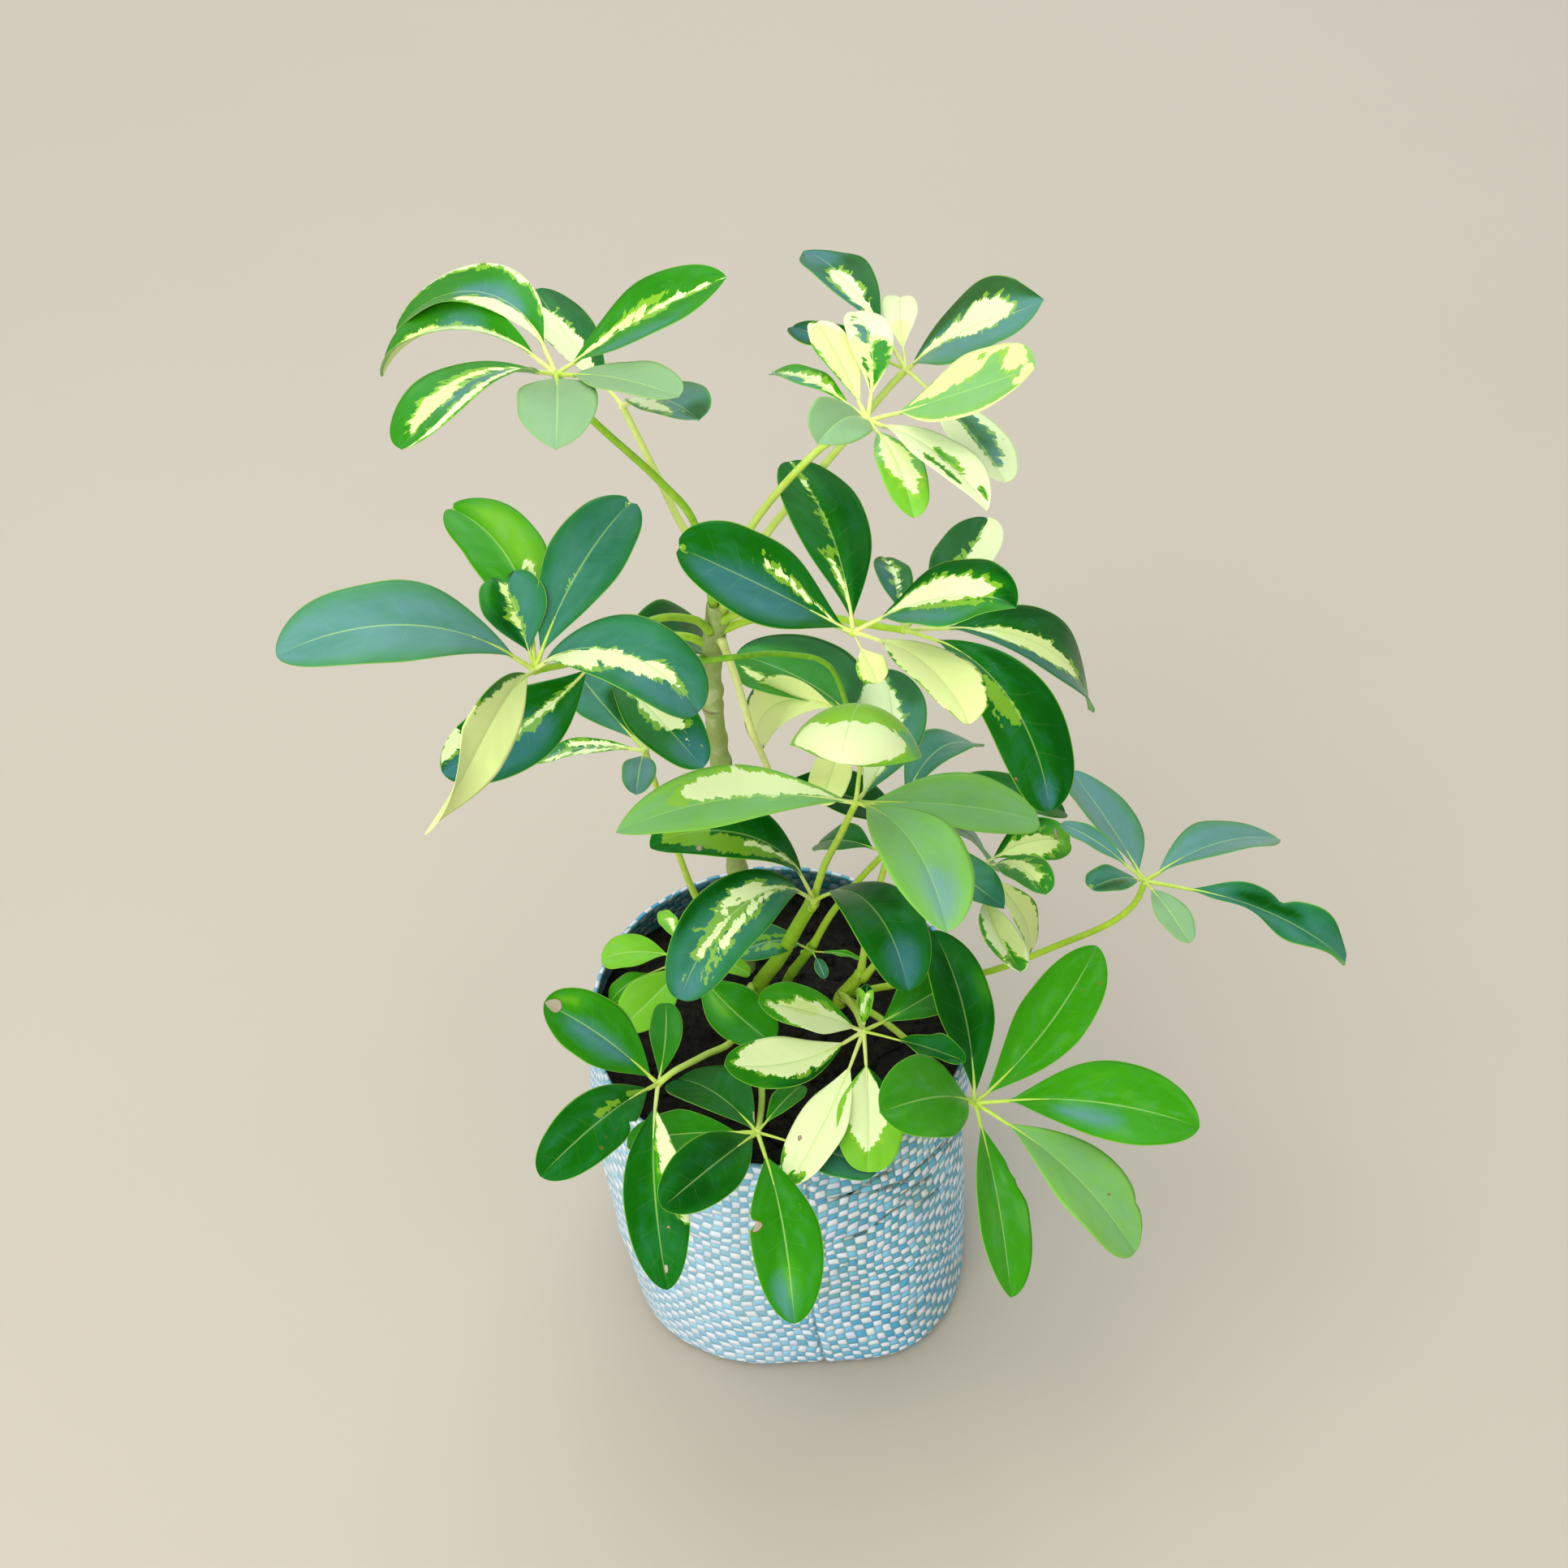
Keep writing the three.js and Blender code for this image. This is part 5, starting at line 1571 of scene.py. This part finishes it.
    def build_wall(self, material: bpy.types.Material, inner: bpy.types.Material) -> bpy.types.Object:
        """Wrap the wall's cloth round, fold its hem and give it its thickness."""
        path = self.wall_path()
        rows = len(path) - 1
        mesh = bmesh.new()
        cloth = mesh.loops.layers.uv.new("cloth")
        soiling_and_painted_light = mesh.verts.layers.float_color.new("soiling_and_painted_light")
        made = bmesh.ops.create_grid(mesh, x_segments=self.around, y_segments=rows, size=1.0)
        cells: dict[bmesh.types.BMVert, tuple[int, int]] = {}
        for vert in made["verts"]:
            cells[vert] = (round((vert.co.x + 1) / 2 * self.around), round((vert.co.y + 1) / 2 * rows))
        for face in mesh.faces:
            face.smooth = True
            for loop in face.loops:
                column, row = cells[loop.vert]
                loop[cloth].uv = (column / self.around * WeaveFinish.girth, path[row][2])
        for vert, (column, row) in cells.items():
            turn = self.seam + 2 * math.pi * column / self.around
            z, inset, _ = path[row]
            level = min(z, self.height)
            slack = self.near_rim(z) ** 2
            sag = 1.8 * noise.noise(polar(turn, 2.4, 0.0, 4.0))
            r = self.radius(turn, level) - inset
            high = max(0.0, level + (sag - self.rim_drop) * slack)
            vert.co = polar(turn, r, self.centre(z), high) * MM
            # The hem's inward side gets painted shade.
            inward = min(1.0, max(0.0, inset - 0.8) / 1.2)
            vert[soiling_and_painted_light] = (*self.soiling_and_painted_light(turn, level), inward, 0.0)
        bmesh.ops.remove_doubles(mesh, verts=list(mesh.verts), dist=1e-6)
        piece = make_object("bag_wall_woven", mesh, [material, inner])
        solid = piece.modifiers.new("cloth_thickness", "SOLIDIFY")
        solid.thickness = self.cloth * MM
        solid.offset = -1.0
        solid.material_offset = 1
        dress(piece, "bag_weave", "bag_wall")
        return piece

    def build_base(self, material: bpy.types.Material) -> bpy.types.Object:
        """Cut the bottom panel to the bag's foot and lay it flat."""
        mesh = bmesh.new()
        cloth = mesh.loops.layers.uv.new("cloth")
        mesh.verts.layers.float_color.new("soiling_and_painted_light")
        bmesh.ops.create_circle(mesh, cap_ends=True, segments=self.base_sides, radius=1.0)
        for vert in mesh.verts:
            turn = math.atan2(vert.co.y, vert.co.x)
            r = self.plain(turn, 0.0) - self.cloth - self.panel_inset
            vert.co = polar(turn, r, self.centre(0.0), 0.0) * MM
        for _ in range(self.base_rings):
            largest = max(mesh.faces, key=lambda face: len(face.verts))
            bmesh.ops.inset_individual(
                mesh, faces=[largest], thickness=self.panel_ring * MM, use_even_offset=False
            )
        for face in mesh.faces:
            for loop in face.loops:
                loop[cloth].uv = (loop.vert.co.x / MM, loop.vert.co.y / MM)
        piece = make_object("bag_base_woven", mesh, [material])
        solid = piece.modifiers.new("cloth_thickness", "SOLIDIFY")
        solid.thickness = self.panel * MM
        solid.offset = 1.0
        dress(piece, "bag_weave", "bag_base")
        return piece


@dataclass(frozen=True)
class Soil:
    """Potting soil in the bag: an uneven surface with crumbs and dry twigs on it."""

    bag: Bag
    top: float = 175.0
    foot: float = 150.0  # the visible soil reaches no deeper
    foot_share: float = 0.97
    reach: float = 92.0  # how far out the crumbs lie
    seed: int = 5
    crumbs: int = 230
    twigs: int = 16
    sides: int = 120
    rings: int = 44
    lump: float = 26.0  # size of the surface's lumps
    gap: float = 0.4  # between the soil and the wall
    edge_rise: float = 2.5  # how far the soil climbs up the wall
    crumb_sizes: tuple[float, float] = (0.8, 3.2)
    twig_lengths: tuple[float, float] = (8, 24)

    def level(self, x: float, y: float) -> float:
        """Give the surface's height at a place."""
        here = Vector((x / self.lump, y / self.lump, 0.0))
        lumps = 2.2 * noise.noise(here), 1.5 * noise.noise(here * 3.1), 0.7 * noise.noise(here * 8.0)
        return self.top + lumps[0] + lumps[1] + lumps[2]

    def build(self, material: bpy.types.Material) -> bpy.types.Object:
        """Fill the bag with soil and scatter what lies on it."""
        mesh = bmesh.new()
        made = bmesh.ops.create_cone(
            mesh, cap_ends=False, segments=self.sides, radius1=1.0, radius2=0.02, depth=1.0
        )
        edges = upright_edges(made["verts"])
        bmesh.ops.subdivide_edges(mesh, edges=edges, cuts=self.rings - 1, use_grid_fill=True)
        middle = self.bag.centre(self.top)
        for vert in mesh.verts:
            reach = min(1.0, max(0.0, vert.co.xy.length))
            turn = math.atan2(vert.co.y, vert.co.x)
            r = (self.bag.radius(turn, self.top) - self.bag.cloth - self.gap) * reach
            x, y = middle + r * math.cos(turn), r * math.sin(turn)
            vert.co = Vector((x, y, self.level(x, y) + self.edge_rise * reach**8)) * MM
        rim = [edge for edge in mesh.edges if edge.is_boundary and edge.verts[0].co.xy.length > 0.05]
        skirt = bmesh.ops.extrude_edge_only(mesh, edges=rim)
        for vert in skirt["geom"]:
            if isinstance(vert, bmesh.types.BMVert):
                vert.co.z = self.foot * MM
                vert.co.x = (vert.co.x - middle * MM) * self.foot_share + self.bag.centre(self.foot) * MM
                vert.co.y *= self.foot_share
        bmesh.ops.holes_fill(mesh, edges=[edge for edge in mesh.edges if edge.is_boundary], sides=0)
        bmesh.ops.recalc_face_normals(mesh, faces=list(mesh.faces))
        chance = random.Random(self.seed)
        for _ in range(self.crumbs):
            self._crumb(mesh, chance)
        for _ in range(self.twigs):
            self._twig(mesh, chance)
        for face in mesh.faces:
            face.smooth = True
        piece = make_object("soil_filled", mesh, [material])
        dress(piece, "soil", "soil")
        return piece

    def _spot(self, chance: random.Random) -> tuple[float, float]:
        """Pick a place on the soil."""
        turn, reach = chance.uniform(0, 2 * math.pi), self.reach * math.sqrt(chance.random())
        return self.bag.centre(self.top) + reach * math.cos(turn), reach * math.sin(turn)

    def _crumb(self, mesh: bmesh.types.BMesh, chance: random.Random) -> None:
        """Lay one crumb on the surface."""
        x, y = self._spot(chance)
        size = chance.uniform(*self.crumb_sizes)
        made = bmesh.ops.create_icosphere(mesh, subdivisions=1, radius=1.0)
        middle = Vector((x, y, self.level(x, y) + 0.2 * size))
        for vert in made["verts"]:
            lumpy = size * chance.uniform(0.7, 1.2)
            vert.co = (middle + Vector((vert.co.x * lumpy, vert.co.y * lumpy, vert.co.z * lumpy * 0.7))) * MM

    def _twig(self, mesh: bmesh.types.BMesh, chance: random.Random) -> None:
        """Lay one dry twig on the surface, inside the wall."""
        x, y = self._spot(chance)
        turn, long = chance.uniform(0, math.pi), chance.uniform(*self.twig_lengths)
        made = bmesh.ops.create_cone(mesh, cap_ends=True, segments=6, radius1=0.8, radius2=0.5, depth=long)
        middle, farthest = self.bag.centre(self.top), self.reach + 1.0
        for vert in made["verts"]:
            along = vert.co.z
            px = x + along * math.cos(turn) - vert.co.x * math.sin(turn)
            py = y + along * math.sin(turn) + vert.co.x * math.cos(turn)
            out = math.hypot(px - middle, py)
            if out > farthest:
                px, py = middle + (px - middle) * farthest / out, py * farthest / out
            vert.co = Vector((px, py, self.level(px, py) + 0.8 + vert.co.y)) * MM


# ---- Studio --------------------------------------------------------------------------------------
@dataclass(frozen=True)
class Lamp:
    """A soft round lamp: where it hangs and how large, strong and coloured its light is."""

    name: str
    place: Point
    size: float
    power: float
    colour: Point
    shines: bool = False


@dataclass(frozen=True)
class Studio:
    """Camera, pale floor and soft light; the camera's place is in millimetres, the lamps' in metres."""

    eye: Point = (-9.9, -1046.3, 1538.7)
    looks_down: float = 48.0
    focal: float = 74.53
    sensor: float = 36.0
    farthest: float = 50.0
    floor: float = 24.0
    floor_drop: float = 0.4
    sky: Point = (0.90, 0.95, 1.0)
    sky_power: float = 0.62
    aim: Point = (0.0, 0.0, 0.35)
    lamps: tuple[Lamp, ...] = (
        Lamp("overhead", (-0.7, -0.5, 3.0), 2.6, 50.0, (1.0, 0.99, 0.96)),
        Lamp("from_front", (-1.0, -2.2, 1.4), 2.0, 34.0, (0.97, 0.99, 1.0)),
        Lamp("from_behind", (0.2, 1.7, 2.1), 2.2, 24.0, (0.75, 0.90, 1.0), shines=True),
    )

    def place_camera(self) -> None:
        """Put the camera where the plant was seen from."""
        data = bpy.data.cameras.new("camera")
        data.lens = self.focal
        data.sensor_width = self.sensor
        data.clip_end = self.farthest
        camera = bpy.data.objects.new("camera", data)
        camera.location = Vector(self.eye) * MM
        camera.rotation_euler = (math.radians(90.0 - self.looks_down), 0.0, 0.0)
        bpy.context.scene.collection.objects.link(camera)
        bpy.context.scene.camera = camera

    def lay_floor(self, material: bpy.types.Material) -> None:
        """Lay the floor under the bag."""
        mesh = bmesh.new()
        bmesh.ops.create_grid(mesh, x_segments=4, y_segments=4, size=self.floor)
        bmesh.ops.translate(mesh, verts=list(mesh.verts), vec=(0, 0, -self.floor_drop * MM))
        make_object("floor", mesh, [material])

    def light(self) -> None:
        """Light the plant softly from a bright overcast sky."""
        world = bpy.data.worlds.new("sky")
        world.use_nodes = True
        back = world.node_tree.nodes["Background"]
        back.inputs[0].default_value = (*self.sky, 1.0)
        back.inputs[1].default_value = self.sky_power
        bpy.context.scene.world = world
        for each in self.lamps:
            data = bpy.data.lights.new(each.name, "AREA")
            data.shape = "DISK"
            data.size = each.size
            data.energy = each.power
            data.color = each.colour
            lamp = bpy.data.objects.new(each.name, data)
            lamp.location = each.place
            lamp.visible_glossy = each.shines
            lamp.rotation_euler = (Vector(self.aim) - Vector(each.place)).to_track_quat("-Z", "Y").to_euler()
            bpy.context.scene.collection.objects.link(lamp)
        view = bpy.context.scene.view_settings
        view.view_transform = "Standard"
        view.exposure = 0.0


def main() -> None:
    """Build the plant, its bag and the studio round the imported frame."""
    logging.basicConfig(level=logging.INFO, format="%(name)s %(message)s")
    studio = Studio()
    studio.place_camera()
    studio.lay_floor(FloorFinish().make())
    studio.light()
    blade, stalk, bark = BladeFinish().make(), StalkFinish().make(), BarkFinish().make()
    weave = WeaveFinish()
    # The inner face is the weave darkened towards its shadow colour as painted shade.
    outside, inside = weave.make("woven_tape", 0.0), weave.make("woven_tape_inside", 0.80)
    bag = Bag()
    bag.build_wall(outside, inside)
    bag.build_base(outside)
    Soil(bag).build(SoilFinish().make())
    for stem in STEMS:
        stem.build([stalk, bark if stem.barked else stalk])
    for leaf in LEAVES:
        leaf.build([blade, stalk])
    Shoot().build([blade, stalk])


if __name__ == "__main__":
    main()
